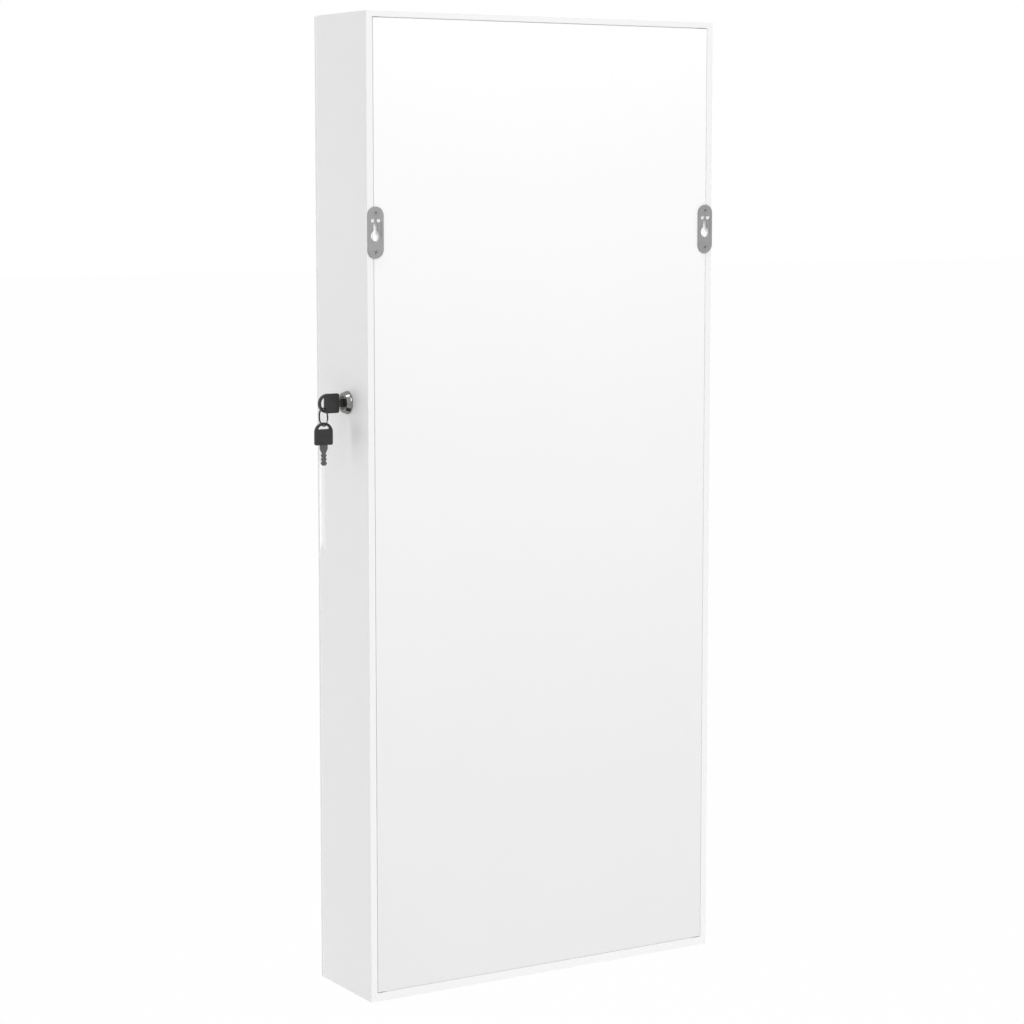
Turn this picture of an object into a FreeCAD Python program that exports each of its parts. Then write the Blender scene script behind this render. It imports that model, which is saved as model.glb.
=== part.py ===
import FreeCAD, Part
import math
import os
from types import SimpleNamespace

import Sketcher

# A shallow jewelry cabinet that hangs on a wall, with a full-size mirror as its door.
# Millimetres. +Z is up, the mirror faces -Y, the wall is at +Y and the lock side is +X.
# The origin lies on the wall, midway between the entry holes of the two keyhole hangers.

SIZES = {
    # carcass
    "cabinet_width": 375.0,
    "cabinet_height": 900.0,
    "cabinet_depth": 100.0,  # back of the boards to the front of the mirror
    "board_thickness": 15.0,
    "back_thickness": 3.0,
    "back_gap": 0.8,  # dark line round the back board
    "back_lip_side": 6.2,  # edge of the boards left outside the rebate
    "back_lip_top": 5.1,
    "back_lip_bottom": 7.8,
    "dowel_radius": 4.0,
    "dowel_length": 30.0,
    "dowel_depth_in_side": 10.0,
    "dowel_inset": 24.0,  # from the front and the back edge
    # keyhole hangers
    "keyhole_drop": 198.5,  # top of the cabinet to the entry holes
    "keyhole_radius": 4.75,
    "keyhole_offset": 3.1,  # entry hole below the middle of its plate
    "keyslot_radius": 2.1,
    "keyslot_rise": 10.0,
    "hanger_width": 16.0,
    "hanger_height": 46.0,
    "hanger_thickness": 1.5,
    "hanger_dish_depth": 0.4,
    "hanger_dish_rim": 0.9,  # dish outside the entry hole
    "hanger_screw_pitch": 35.0,
    "hanger_pocket_depth": 2.6,
    "hanger_pocket_width": 11.0,
    "hanger_pocket_top": 15.5,
    "flare_inner_x": 1.9,  # two pressed marks spread from the top of the slot
    "flare_inner_z": 12.7,
    "flare_outer_x": 3.7,
    "flare_outer_z": 14.3,
    "flare_radius": 1.1,
    "flare_depth": 0.9,
    # countersunk screws, two sizes
    "screw_radius": 1.5,
    "screw_head_radius": 2.9,
    "screw_head_depth": 1.4,
    "screw_length": 13.0,
    "screw_clearance": 0.1,
    "small_screw_radius": 1.1,
    "small_screw_head_radius": 2.1,
    "small_screw_head_depth": 0.9,
    "small_screw_length": 9.0,
    # door
    "glass_thickness": 3.0,
    "glass_bevel": 0.5,
    "tape_thickness": 1.0,
    "tape_width": 20.0,
    "tape_inset": 58.5,  # middle of the outer strips to the edge of the door board
    "tape_end_margin": 30.0,
    "seam_gap": 1.4,  # back of the glass to the front edge of the boards
    "door_thickness": 12.0,
    "door_gap": 1.5,
    "lining_thickness": 1.5,
    "door_lining_side_margin": 16.0,
    "door_lining_end_margin": 32.0,
    # finger grip in the lock side
    "grip_length": 80.0,
    "grip_width": 10.4,
    "grip_depth": 2.5,
    "grip_end_slope": 4.0,
    "grip_back_slope": 1.0,
    "bumper_radius": 4.0,
    "bumper_thickness": 1.0,
    "bumper_end_distance": 30.0,
    # butt hinges
    "hinge_length": 50.0,
    "leaf_thickness": 0.9,
    "hinge_end_distance": 90.0,
    "knuckle_radius": 2.5,
    "knuckle_gap": 0.3,
    "hinge_offset": 0.4,  # knuckle to the side of the cabinet
    "pin_radius": 1.25,
    "pin_clearance": 0.05,
    "pin_head_radius": 1.9,
    "pin_head_height": 0.8,
    "cabinet_leaf_width": 12.0,
    "door_leaf_width": 40.0,
    "hinge_screw_pitch": 30.0,
    "cabinet_leaf_screw_inset": 7.0,
    "door_leaf_screw_inset": 30.0,
    # cam lock
    "lock_drop": 350.0,  # top of the cabinet to the lock
    "lock_setback": 39.8,  # back of the boards to the lock
    "lock_head_radius": 10.6,
    "lock_face_radius": 8.9,
    "lock_flange": 1.0,
    "lock_head_height": 5.0,
    "lock_body_radius": 8.0,
    "lock_body_length": 22.5,
    "lock_hole_clearance": 0.2,
    "lock_nut_radius": 11.0,
    "lock_nut_thickness": 3.5,
    "plug_radius": 5.5,
    "plug_clearance": 0.05,
    "plug_collar_radius": 6.3,
    "plug_collar_length": 1.2,
    "plug_recess": 0.3,  # plug face behind the lock face
    "cam_square": 5.0,
    "cam_thickness": 1.8,
    "cam_hub_radius": 7.5,
    "cam_arm_width": 9.0,
    "cam_reach": 36.0,
    "hook_width": 6.5,
    "hook_depth": 4.5,
    "cam_screw_radius": 1.8,
    "cam_screw_head_radius": 3.6,
    "cam_screw_head_length": 2.2,
    "cam_screw_length": 9.0,
    # keeper on the door
    "keeper_thickness": 1.5,
    "keeper_width": 12.0,
    "keeper_window_width": 7.0,
    "keeper_bar": 6.0,
    "keeper_foot": 22.0,
    "keeper_clearance": 1.5,
    "keeper_screw_drop": 7.7,  # keeper's shelf to its upper screw
    "keeper_screw_pitch": 8.8,
    # keys and ring
    "key_head_radius": 8.9,
    "key_head_straight": 11.7,
    "key_head_thickness": 2.6,
    "key_head_corner": 1.6,
    "key_rim": 2.2,
    "key_slot_chord": 2.8,
    "key_blade_length": 18.7,
    "key_blade_width": 7.4,
    "key_blade_thickness": 2.0,
    "key_bitted_width": 5.4,
    "key_shoulder": 3.6,
    "key_first_cut": 7.8,
    "key_tang": 8.0,  # blade hidden in the head
    "key_cut_pitch": 3.4,
    "key_cut_depth": 1.1,
    "key_tip_width": 2.4,
    "key_tip_length": 1.5,
    "key_stand_off": 4.0,  # bare blade between lock face and head
    "keyway_clearance": 0.1,
    "keyway_extra": 2.8,
    "ring_radius": 8.15,
    "ring_wire_radius": 0.65,
    "hang_gap": 0.85,  # leaves room for the rim's corners when the key turns
    "ring_play": 0.45,
    # fittings inside the cabinet
    "lining_gap": 0.5,
    "shelf_thickness": 6.0,
    "shelf_depth": 42.0,
    "first_shelf_height": 150.0,
    "shelf_pitch": 105.0,
    "rail_thickness": 2.0,
    "rail_height": 16.0,
    "rod_radius": 4.0,
    "rod_height": 112.0,
    "rod_setback": 30.0,
    "socket_radius": 10.0,
    "socket_length": 8.0,
    "socket_floor": 2.0,
    "rod_clearance": 0.1,
    "ring_tray_hinge_margin": 19.5,  # tray to the side boards
    "ring_tray_lock_margin": 35.5,
    "ring_tray_height": 112.0,
    "ring_tray_depth": 24.0,
    "ring_tray_wall": 4.0,
    "ring_tray_back": 2.0,
    "ring_tray_level": 415.0,
    "cushion_clearance": 0.4,
    "cushion_rise": 7.5,  # crown of each roll above the tray's rim
    "cushion_end_drop": 4.0,  # how far the rolls draw in at their ends
    "cushion_end_length": 12.0,
    "hook_rail_height": 20.0,
    "hook_rail_thickness": 10.0,
    "hook_rail_drop": 30.0,
    "hook_rail_margin": 7.5,  # rail to the side boards
    "hook_radius": 1.5,
    "hook_length": 20.0,
    "hook_head_radius": 3.5,
    "hook_head_length": 2.0,
    "hook_end_margin": 16.5,  # outer hooks to the end of their rail
    # magnetic catch
    "catch_width": 46.0,
    "catch_height": 14.0,
    "catch_depth": 14.0,
    "catch_inset": 49.5,  # middle of the catch to the lock side board
    "catch_wall": 3.0,
    "catch_gap": 0.5,
    "strike_width": 36.0,
    "strike_height": 10.0,
    "strike_thickness": 1.2,
    "strike_drop": 3.0,
    "strike_screw_pitch": 21.6,
    # fittings on the inner side of the door
    "rack_margin": 24.5,  # rack to the side boards
    "rack_side_thickness": 8.0,
    "rack_depth": 22.0,
    "rack_drop": 45.0,  # ceiling to the rack
    "rack_height": 250.0,
    "rack_strip_height": 14.0,
    "rack_strip_thickness": 3.0,
    "rack_strip_margin": 8.0,  # end strips to the ends of the rack
    "notch_width": 1.6,
    "notch_depth": 5.0,
    "notch_end_margin": 21.0,  # outer notches to the ends of their strip
    "door_rail_drop": 89.0,  # rack to the hook rail below it
    "door_rail_height": 16.0,
    "door_rail_thickness": 9.0,
    "door_rail_margin": 24.5,
    "door_hook_length": 12.0,
    "door_tray_level": 60.0,
    "door_tray_margin": 32.5,
    "door_tray_height": 46.0,
    "door_tray_depth": 24.0,
    "door_tray_wall": 3.0,
}

SHELF_COUNT = 3
ROLL_COUNT = 6
HOOK_COUNT = 12
DOOR_HOOK_COUNT = 10
STRIP_COUNT = 6
NOTCH_COUNT = 18
TAPE_COUNT = 4
KEY_CUT_COUNT = 3
SLACK = 1.0  # how far a cutting tool stands past the face it opens


# ---------------------------------------------------------------- sizes and helpers

doc = FreeCAD.newDocument("jewelry_mirror_cabinet")
sheet = doc.addObject("Spreadsheet::Sheet", "Sizes")
for row, (alias, number) in enumerate(SIZES.items(), start=1):
    sheet.set(f"A{row}", alias.replace("_", " "))
    sheet.set(f"B{row}", str(number))
    sheet.setAlias(f"B{row}", alias)
doc.recompute()


class Size:
    """A length that carries its formula in the sheet and its present number."""

    def __init__(self, text, number):
        self.text = text
        self.number = float(number)

    def __add__(self, other):
        other = as_size(other)
        return Size(f"({self.text} + {other.text})", self.number + other.number)

    def __sub__(self, other):
        other = as_size(other)
        return Size(f"({self.text} - {other.text})", self.number - other.number)

    def __mul__(self, factor):
        return Size(f"({self.text} * {factor})", self.number * factor)

    def __truediv__(self, factor):
        return Size(f"({self.text} / {factor})", self.number / factor)

    def __neg__(self):
        return Size(f"(0 - {self.text})", -self.number)


def as_size(value):
    return value if isinstance(value, Size) else Size(str(value), value)


s = SimpleNamespace(**{a: Size(f"Sizes.{a}", sheet.get(a)) for a in SIZES})
ZERO = as_size(0)

# Unit directions that a round piece or a screw can point in.
TOWARDS = {
    "+X": FreeCAD.Vector(1, 0, 0),
    "-X": FreeCAD.Vector(-1, 0, 0),
    "+Y": FreeCAD.Vector(0, 1, 0),
    "-Y": FreeCAD.Vector(0, -1, 0),
    "+Z": FreeCAD.Vector(0, 0, 1),
    "-Z": FreeCAD.Vector(0, 0, -1),
}

nodes = []


def bind(obj, **formulas):
    for name, size in formulas.items():
        setattr(obj, name, as_size(size).number)
        obj.setExpression(name, as_size(size).text)


def place(obj, at, direction="+Z"):
    x, y, z = (as_size(v) for v in at)
    turn = FreeCAD.Rotation(TOWARDS["+Z"], TOWARDS[direction])
    obj.Placement = FreeCAD.Placement(FreeCAD.Vector(x.number, y.number, z.number), turn)
    obj.setExpression("Placement.Base.x", x.text)
    obj.setExpression("Placement.Base.y", y.text)
    obj.setExpression("Placement.Base.z", z.text)
    return obj


def node(label, obj):
    obj.Label = label
    nodes.append(obj)
    return obj


def block(x_span, y_span, z_span):
    """A box between two X, two Y and two Z values."""
    obj = doc.addObject("Part::Box", "block")
    (x0, x1), (y0, y1), (z0, z1) = (tuple(as_size(v) for v in span) for span in (x_span, y_span, z_span))
    bind(obj, Length=x1 - x0, Width=y1 - y0, Height=z1 - z0)
    return place(obj, (x0, y0, z0))


def rod(at, direction, radius, length):
    obj = doc.addObject("Part::Cylinder", "rod")
    bind(obj, Radius=radius, Height=length)
    return place(obj, at, direction)


def cone(at, direction, first_radius, last_radius, length):
    obj = doc.addObject("Part::Cone", "cone")
    bind(obj, Radius1=first_radius, Radius2=last_radius, Height=length)
    return place(obj, at, direction)


def fuse(parts):
    obj = doc.addObject("Part::MultiFuse", "fuse")
    obj.Shapes = parts
    return obj


def cut(base, tools):
    obj = doc.addObject("Part::Cut", "cut")
    obj.Base = base
    obj.Tool = tools[0] if len(tools) == 1 else fuse(tools)
    return obj


def group(parts):
    """Separate solids that share one node."""
    obj = doc.addObject("Part::Compound", "group")
    obj.Links = parts
    return obj


def centred(middle, length):
    return as_size(middle) - as_size(length) / 2, as_size(middle) + as_size(length) / 2


def spread(half_length, count):
    """Evenly spaced places from minus to plus the half length."""
    return [half_length * (2 * k / (count - 1) - 1) for k in range(count)]


def mirrored(span, side):
    """The span itself on the lock side (+1), and its mirror image on the hinge side (-1)."""
    return span if side > 0 else (-span[1], -span[0])


def shifted(at, direction, distance):
    x, y, z = at
    step = TOWARDS[direction]
    return (
        as_size(x) + as_size(distance) * step.x,
        as_size(y) + as_size(distance) * step.y,
        as_size(z) + as_size(distance) * step.z,
    )


def screw(at, direction, small=False):
    """A countersunk wood screw: its flat head starts at the point and its shank goes on from there."""
    size = screw_sizes(small)
    head = cone(at, direction, size.head_radius, size.radius, size.head_depth)
    shank = rod(at, direction, size.radius, size.length)
    return fuse([head, shank])


def screw_hole(at, direction, small=False):
    """Clearance for a countersunk screw through thin metal."""
    size = screw_sizes(small)
    outside = shifted(at, direction, -SLACK)
    lead_in = rod(outside, direction, size.head_radius + s.screw_clearance, as_size(SLACK))
    shank_hole = size.radius + s.screw_clearance
    sink = cone(at, direction, size.head_radius + s.screw_clearance, shank_hole, size.head_depth)
    through = rod(at, direction, shank_hole, size.length)
    return fuse([lead_in, sink, through])


def pilot_hole(at, direction, small=False):
    size = screw_sizes(small)
    return rod(at, direction, size.radius, size.length)


def screw_sizes(small):
    if small:
        return SimpleNamespace(
            radius=s.small_screw_radius,
            head_radius=s.small_screw_head_radius,
            head_depth=s.small_screw_head_depth,
            length=s.small_screw_length,
        )
    return SimpleNamespace(
        radius=s.screw_radius,
        head_radius=s.screw_head_radius,
        head_depth=s.screw_head_depth,
        length=s.screw_length,
    )


# ---------------------------------------------------------------- sketches and bodies


def new_body(name, at, turn=None):
    body = doc.addObject("PartDesign::Body", name)
    place(body, at)
    if turn:
        body.Placement = FreeCAD.Placement(body.Placement.Base, turn)
    return body


def new_sketch(body, role, level=None):
    """A sketch on one of the body's own origin planes, moved along the plane's normal by level."""
    sketch = body.newObject("Sketcher::SketchObject", "sketch")
    plane = [f for f in body.Origin.OriginFeatures if f.Role == role][0]
    sketch.AttachmentSupport = (plane, [""])
    sketch.MapMode = "FlatFace"
    if level is not None:
        level = as_size(level)
        sketch.AttachmentOffset = FreeCAD.Placement(FreeCAD.Vector(0, 0, level.number), FreeCAD.Rotation())
        sketch.setExpression("AttachmentOffset.Base.z", level.text)
    return sketch


def fix_point(sketch, geometry, position, point):
    """Ties one point of a curve to its two coordinates."""
    for kind, size in zip(("DistanceX", "DistanceY"), point):
        size = as_size(size)
        index = sketch.addConstraint(Sketcher.Constraint(kind, geometry, position, size.number))
        sketch.setExpression(f"Constraints[{index}]", size.text)


def fix_radius(sketch, geometry, radius):
    index = sketch.addConstraint(Sketcher.Constraint("Radius", geometry, as_size(radius).number))
    sketch.setExpression(f"Constraints[{index}]", as_size(radius).text)


def draw_outline(sketch, points):
    """A closed outline of straight lines through the points."""
    vectors = [FreeCAD.Vector(as_size(x).number, as_size(y).number, 0) for x, y in points]
    first = None
    for i, start in enumerate(vectors):
        line = sketch.addGeometry(Part.LineSegment(start, vectors[(i + 1) % len(vectors)]))
        first = line if first is None else first
        if i:
            sketch.addConstraint(Sketcher.Constraint("Coincident", line - 1, 2, line, 1))
    sketch.addConstraint(Sketcher.Constraint("Coincident", line, 2, first, 1))
    for i, point in enumerate(points):
        fix_point(sketch, first + i, 1, point)


def draw_rectangle(sketch, x_span, y_span):
    (x0, x1), (y0, y1) = x_span, y_span
    draw_outline(sketch, [(x0, y0), (x1, y0), (x1, y1), (x0, y1)])


def draw_circle(sketch, centre, radius):
    middle = FreeCAD.Vector(as_size(centre[0]).number, as_size(centre[1]).number, 0)
    circle = sketch.addGeometry(Part.Circle(middle, FreeCAD.Vector(0, 0, 1), as_size(radius).number))
    fix_point(sketch, circle, 3, centre)
    fix_radius(sketch, circle, radius)


def draw_slot(sketch, first, last, radius):
    """Two half circles round two points, joined by straight sides."""
    r = as_size(radius).number
    axis = FreeCAD.Vector(0, 0, 1)
    start, end = (FreeCAD.Vector(as_size(p[0]).number, as_size(p[1]).number, 0) for p in (first, last))
    angle = math.atan2(end.y - start.y, end.x - start.x)
    side = FreeCAD.Vector(math.sin(angle), -math.cos(angle), 0) * r
    right = angle - math.pi / 2
    left = angle + math.pi / 2
    far = sketch.addGeometry(Part.ArcOfCircle(Part.Circle(end, axis, r), right, left))
    near = sketch.addGeometry(Part.ArcOfCircle(Part.Circle(start, axis, r), left, left + math.pi))
    back = sketch.addGeometry(Part.LineSegment(end - side, start - side))
    forth = sketch.addGeometry(Part.LineSegment(start + side, end + side))
    for one, two in ((far, back), (back, near), (near, forth), (forth, far)):
        sketch.addConstraint(Sketcher.Constraint("Tangent", one, 2, two, 1))
    fix_point(sketch, near, 3, first)
    fix_point(sketch, far, 3, last)
    fix_radius(sketch, far, radius)


def extrude(body, kind, sketch, length, **settings):
    feature = body.newObject(f"PartDesign::{kind}", kind.lower())
    feature.Profile = sketch
    bind(feature, Length=length)
    for name, value in settings.items():
        setattr(feature, name, value)
    sketch.Visibility = False
    return feature


def pad(body, sketch, length, **settings):
    return extrude(body, "Pad", sketch, length, **settings)


def pocket(body, sketch, length, **settings):
    return extrude(body, "Pocket", sketch, length, **settings)


def revolve(body, sketch):
    """Turns the sketch once round its own horizontal axis."""
    feature = body.newObject("PartDesign::Revolution", "revolution")
    feature.Profile = sketch
    feature.ReferenceAxis = (sketch, ["H_Axis"])
    feature.Angle = 360.0
    return feature


# ---------------------------------------------------------------- planes that the pieces share

half_width = s.cabinet_width / 2
inner_half = half_width - s.board_thickness
z_top = s.keyhole_drop
z_base = s.keyhole_drop - s.cabinet_height
z_ceiling = z_top - s.board_thickness
z_floor = z_base + s.board_thickness
z_middle = (z_top + z_base) / 2

y_back = -s.hanger_thickness
y_front = y_back - s.cabinet_depth
y_glass_back = y_front + s.glass_thickness
y_edge = y_glass_back + s.seam_gap
y_door_front = y_glass_back + s.tape_thickness
y_door_inner = y_door_front + s.door_thickness
y_back_inner = y_back - s.back_thickness
y_lining = y_back_inner - s.lining_thickness

y_lock = y_back - s.lock_setback
z_lock = z_top - s.lock_drop

x_hinge = -(half_width + s.hinge_offset + s.knuckle_radius)
y_hinge = (y_glass_back + y_edge) / 2
hinge_levels = [z_top - s.hinge_end_distance, z_middle, z_base + s.hinge_end_distance]

hanger_x = half_width - s.hanger_width / 2
hanger_z = s.keyhole_offset
dish_radius = s.keyhole_radius + s.hanger_dish_rim


# ---------------------------------------------------------------- carcass boards

rebate = block(
    (-(half_width - s.back_lip_side), half_width - s.back_lip_side),
    (y_back_inner, y_back + SLACK),
    (z_base + s.back_lip_bottom, z_top - s.back_lip_top),
)


def hanger_pocket(side):
    """Room behind a keyhole for the head of the wall screw."""
    return block(
        mirrored(centred(hanger_x, s.hanger_pocket_width), side),
        (y_back - s.hanger_pocket_depth, y_back + SLACK),
        (-(s.hanger_pocket_width / 2), s.hanger_pocket_top),
    )


def hanger_screw_points(side):
    x = hanger_x * side
    return [(x, ZERO, hanger_z + s.hanger_screw_pitch * k / 2) for k in (-1, 1)]


hanger_pockets = {side: hanger_pocket(side) for side in (-1, 1)}
hanger_pilots = {side: [pilot_hole(p, "-Y") for p in hanger_screw_points(side)] for side in (-1, 1)}


def dowel_points(side):
    points = []
    x = (inner_half + s.dowel_depth_in_side) * side
    for z in (z_top - s.board_thickness / 2, z_base + s.board_thickness / 2):
        for y in (y_edge + s.dowel_inset, y_back - s.dowel_inset):
            points.append((x, y, z))
    return points


def dowel_at(point, side):
    return rod(point, "-X" if side > 0 else "+X", s.dowel_radius, s.dowel_length)


dowels = {side: [dowel_at(p, side) for p in dowel_points(side)] for side in (-1, 1)}


def finger_grip():
    """A sloping scoop in the front edge of the lock side, deepest at the mirror."""
    wedge = doc.addObject("Part::Wedge", "finger_grip")
    low = -(s.grip_length / 2)
    high = s.grip_length / 2
    bind(
        wedge,
        Xmin=-as_size(SLACK), Xmax=s.grip_width, X2min=-as_size(SLACK), X2max=s.grip_back_slope,
        Ymin=ZERO, Ymax=s.grip_depth,
        Zmin=low, Zmax=high, Z2min=low + s.grip_end_slope, Z2max=high - s.grip_end_slope,
    )
    place(wedge, (half_width, y_edge, z_middle))
    turn = FreeCAD.Rotation(FreeCAD.Vector(0, 0, 1), 90)
    wedge.Placement = FreeCAD.Placement(wedge.Placement.Base, turn)
    return wedge


def hinge_mortise(level):
    return block(
        (-half_width, -half_width + s.cabinet_leaf_width),
        (y_edge - SLACK, y_edge + s.leaf_thickness),
        centred(level, s.hinge_length),
    )


def side_panel(side):
    board = block(mirrored((inner_half, half_width), side), (y_edge, y_back), (z_base, z_top))
    tools = [rebate, hanger_pockets[side], *hanger_pilots[side], *dowels[side]]
    if side > 0:
        hole_start = (half_width + SLACK, y_lock, z_lock)
        hole_radius = s.lock_body_radius + s.lock_hole_clearance
        tools.append(rod(hole_start, "-X", hole_radius, s.board_thickness + 2 * SLACK))
        tools.append(finger_grip())
    else:
        tools += [hinge_mortise(level) for level in hinge_levels]
        for level in hinge_levels:
            tools += [pilot_hole(p, "+Y", small=True) for p in cabinet_leaf_screws(level)]
    return cut(board, tools)


def cabinet_leaf_screws(level):
    x = -half_width + s.cabinet_leaf_screw_inset
    return [(x, y_edge, level + s.hinge_screw_pitch * k / 2) for k in (-1, 1)]


node("side_panel_left", side_panel(-1))
node("side_panel_right", side_panel(1))

all_dowels = dowels[-1] + dowels[1]
for label, z_span in (("top_panel", (z_ceiling, z_top)), ("bottom_panel", (z_base, z_floor))):
    board = block((-inner_half, inner_half), (y_edge, y_back), z_span)
    node(label, cut(board, [rebate] + all_dowels))

back_half = half_width - s.back_lip_side - s.back_gap
back_board = block(
    (-back_half, back_half),
    (y_back_inner, y_back),
    (z_base + s.back_lip_bottom + s.back_gap, z_top - s.back_lip_top - s.back_gap),
)
back_tools = list(hanger_pockets.values()) + hanger_pilots[-1] + hanger_pilots[1]
node("back_panel", cut(back_board, back_tools))
node("corner_dowels", group(all_dowels))


# ---------------------------------------------------------------- keyhole hangers


def hanger_plate(side, label):
    """A stadium-shaped steel plate: a shallow dish with a keyhole and two marks, and two screw holes."""
    body = new_body(label, (hanger_x * side, ZERO, ZERO))
    end = (s.hanger_height - s.hanger_width) / 2
    outline = new_sketch(body, "XZ_Plane")
    draw_slot(outline, (ZERO, hanger_z - end), (ZERO, hanger_z + end), s.hanger_width / 2)
    pad(body, outline, s.hanger_thickness)
    dish = new_sketch(body, "XZ_Plane")
    draw_slot(dish, (ZERO, ZERO), (ZERO, s.keyslot_rise), dish_radius)
    pocket(body, dish, s.hanger_dish_depth, Reversed=True)
    entry = new_sketch(body, "XZ_Plane")
    draw_circle(entry, (ZERO, ZERO), s.keyhole_radius)
    pocket(body, entry, s.hanger_thickness, Reversed=True)
    slot = new_sketch(body, "XZ_Plane")
    draw_slot(slot, (ZERO, ZERO), (ZERO, s.keyslot_rise), s.keyslot_radius)
    pocket(body, slot, s.hanger_thickness, Reversed=True)
    for way in (-1, 1):
        flare = new_sketch(body, "XZ_Plane")
        inner = (s.flare_inner_x * way, s.flare_inner_z)
        draw_slot(flare, inner, (s.flare_outer_x * way, s.flare_outer_z), s.flare_radius)
        pocket(body, flare, s.flare_depth, Reversed=True)
    return cut(body, [screw_hole(p, "-Y") for p in hanger_screw_points(side)])


node("hanger_plate_left", hanger_plate(-1, "hanger_body_left"))
node("hanger_plate_right", hanger_plate(1, "hanger_body_right"))
node("hanger_screws", group([screw(p, "-Y") for side in (-1, 1) for p in hanger_screw_points(side)]))


# ---------------------------------------------------------------- door

door_half = inner_half - s.door_gap
z_door_low = z_floor + s.door_gap
z_door_high = z_ceiling - s.door_gap


def door_leaf_screws(level):
    x = -half_width + s.door_leaf_screw_inset
    return [(x, y_door_front - s.leaf_thickness, level + s.hinge_screw_pitch * k / 2) for k in (-1, 1)]


cam_back = -s.lock_body_length - s.cam_thickness
cam_x = half_width + cam_back + s.cam_thickness / 2
keeper_x = centred(cam_x, s.keeper_width)
keeper_top = z_lock - s.cam_arm_width / 2 - s.keeper_clearance
y_keeper = y_door_inner + s.keeper_thickness
keeper_screw_z = keeper_top - s.keeper_screw_drop
keeper_screw_points = [(cam_x, y_keeper, keeper_screw_z - s.keeper_screw_pitch * k) for k in range(2)]

catch_at = inner_half - s.catch_inset
z_strike = (z_ceiling - s.strike_drop - s.strike_height, z_ceiling - s.strike_drop)
y_strike = y_door_inner + s.strike_thickness
strike_screw_points = [
    (catch_at + s.strike_screw_pitch * k / 2, y_strike, (z_strike[0] + z_strike[1]) / 2) for k in (-1, 1)
]

door_board = block((-door_half, door_half), (y_door_front, y_door_inner), (z_door_low, z_door_high))
door_pilots = [pilot_hole(p, "+Y", small=True) for level in hinge_levels for p in door_leaf_screws(level)]
door_pilots += [pilot_hole(p, "-Y", small=True) for p in keeper_screw_points + strike_screw_points]
node("door_panel", cut(door_board, door_pilots))

glass = new_body("mirror_body", (ZERO, y_front, ZERO))
glass_outline = new_sketch(glass, "XZ_Plane")
draw_rectangle(glass_outline, (-half_width, half_width), (z_base, z_top))
glass_pad = pad(glass, glass_outline, s.glass_thickness, Reversed=True)
doc.recompute()
glass_edges = glass.newObject("PartDesign::Chamfer", "ground_edges")
front_face = min(range(len(glass_pad.Shape.Faces)), key=lambda i: glass_pad.Shape.Faces[i].CenterOfMass.y)
glass_edges.Base = (glass_pad, [f"Face{front_face + 1}"])
bind(glass_edges, Size=s.glass_bevel)
node("mirror_glass", glass)

tape_centres = spread(door_half - s.tape_inset, TAPE_COUNT)
tape_z = (z_door_low + s.tape_end_margin, z_door_high - s.tape_end_margin)
tapes = [block(centred(x, s.tape_width), (y_glass_back, y_door_front), tape_z) for x in tape_centres]
node("mirror_tape", group(tapes))

lining_x = (-(door_half - s.door_lining_side_margin), door_half - s.door_lining_side_margin)
lining_z = (z_door_low + s.door_lining_end_margin, z_door_high - s.door_lining_end_margin)
y_door_lining = y_door_inner + s.lining_thickness
node("door_lining", block(lining_x, (y_door_inner, y_door_lining), lining_z))

bumper_x = half_width - s.board_thickness / 2
bumper_levels = (z_top - s.bumper_end_distance, z_base + s.bumper_end_distance)
bumpers = [rod((bumper_x, y_edge, z), "-Y", s.bumper_radius, s.bumper_thickness) for z in bumper_levels]
node("door_bumpers", group(bumpers))


# ---------------------------------------------------------------- hinges

segment = (s.hinge_length - s.knuckle_gap * 2) / 3


def knuckle_spans(level):
    """Lower, middle and upper knuckle of one hinge."""
    low = level - s.hinge_length / 2
    step = segment + s.knuckle_gap
    return [(low + step * k, low + step * k + segment) for k in range(3)]


def knuckle(span):
    return rod((x_hinge, y_hinge, span[0]), "+Z", s.knuckle_radius, span[1] - span[0])


def cabinet_leaf(level):
    spans = knuckle_spans(level)
    y_span = (y_edge, y_edge + s.leaf_thickness)
    leaf_end = -half_width + s.cabinet_leaf_width
    parts = [block((-half_width, leaf_end), y_span, centred(level, s.hinge_length))]
    for span in (spans[0], spans[2]):
        parts.append(knuckle(span))
        parts.append(block((x_hinge, leaf_end), y_span, span))
    bore = rod((x_hinge, y_hinge, level - s.hinge_length), "+Z", s.pin_radius, s.hinge_length * 2)
    holes = [screw_hole(p, "+Y", small=True) for p in cabinet_leaf_screws(level)]
    return cut(fuse(parts), [bore] + holes)


def door_leaf(level):
    span = knuckle_spans(level)[1]
    y_span = (y_door_front - s.leaf_thickness, y_door_front)
    leaf_end = -half_width + s.door_leaf_width
    parts = [
        block((-half_width, leaf_end), y_span, centred(level, s.hinge_length)),
        knuckle(span),
        block((x_hinge, leaf_end), y_span, span),
    ]
    bore_radius = s.pin_radius + s.pin_clearance
    bore = rod((x_hinge, y_hinge, level - s.hinge_length), "+Z", bore_radius, s.hinge_length * 2)
    holes = [screw_hole(p, "+Y", small=True) for p in door_leaf_screws(level)]
    return cut(fuse(parts), [bore] + holes)


def hinge_pin(level):
    low = level - s.hinge_length / 2
    high = level + s.hinge_length / 2
    return fuse([
        rod((x_hinge, y_hinge, low), "+Z", s.pin_radius, s.hinge_length),
        rod((x_hinge, y_hinge, high), "+Z", s.pin_head_radius, s.pin_head_height),
        rod((x_hinge, y_hinge, low), "-Z", s.pin_head_radius, s.pin_head_height),
    ])


def hinge_screws(points_of):
    return group([screw(p, "+Y", small=True) for level in hinge_levels for p in points_of(level)])


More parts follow.
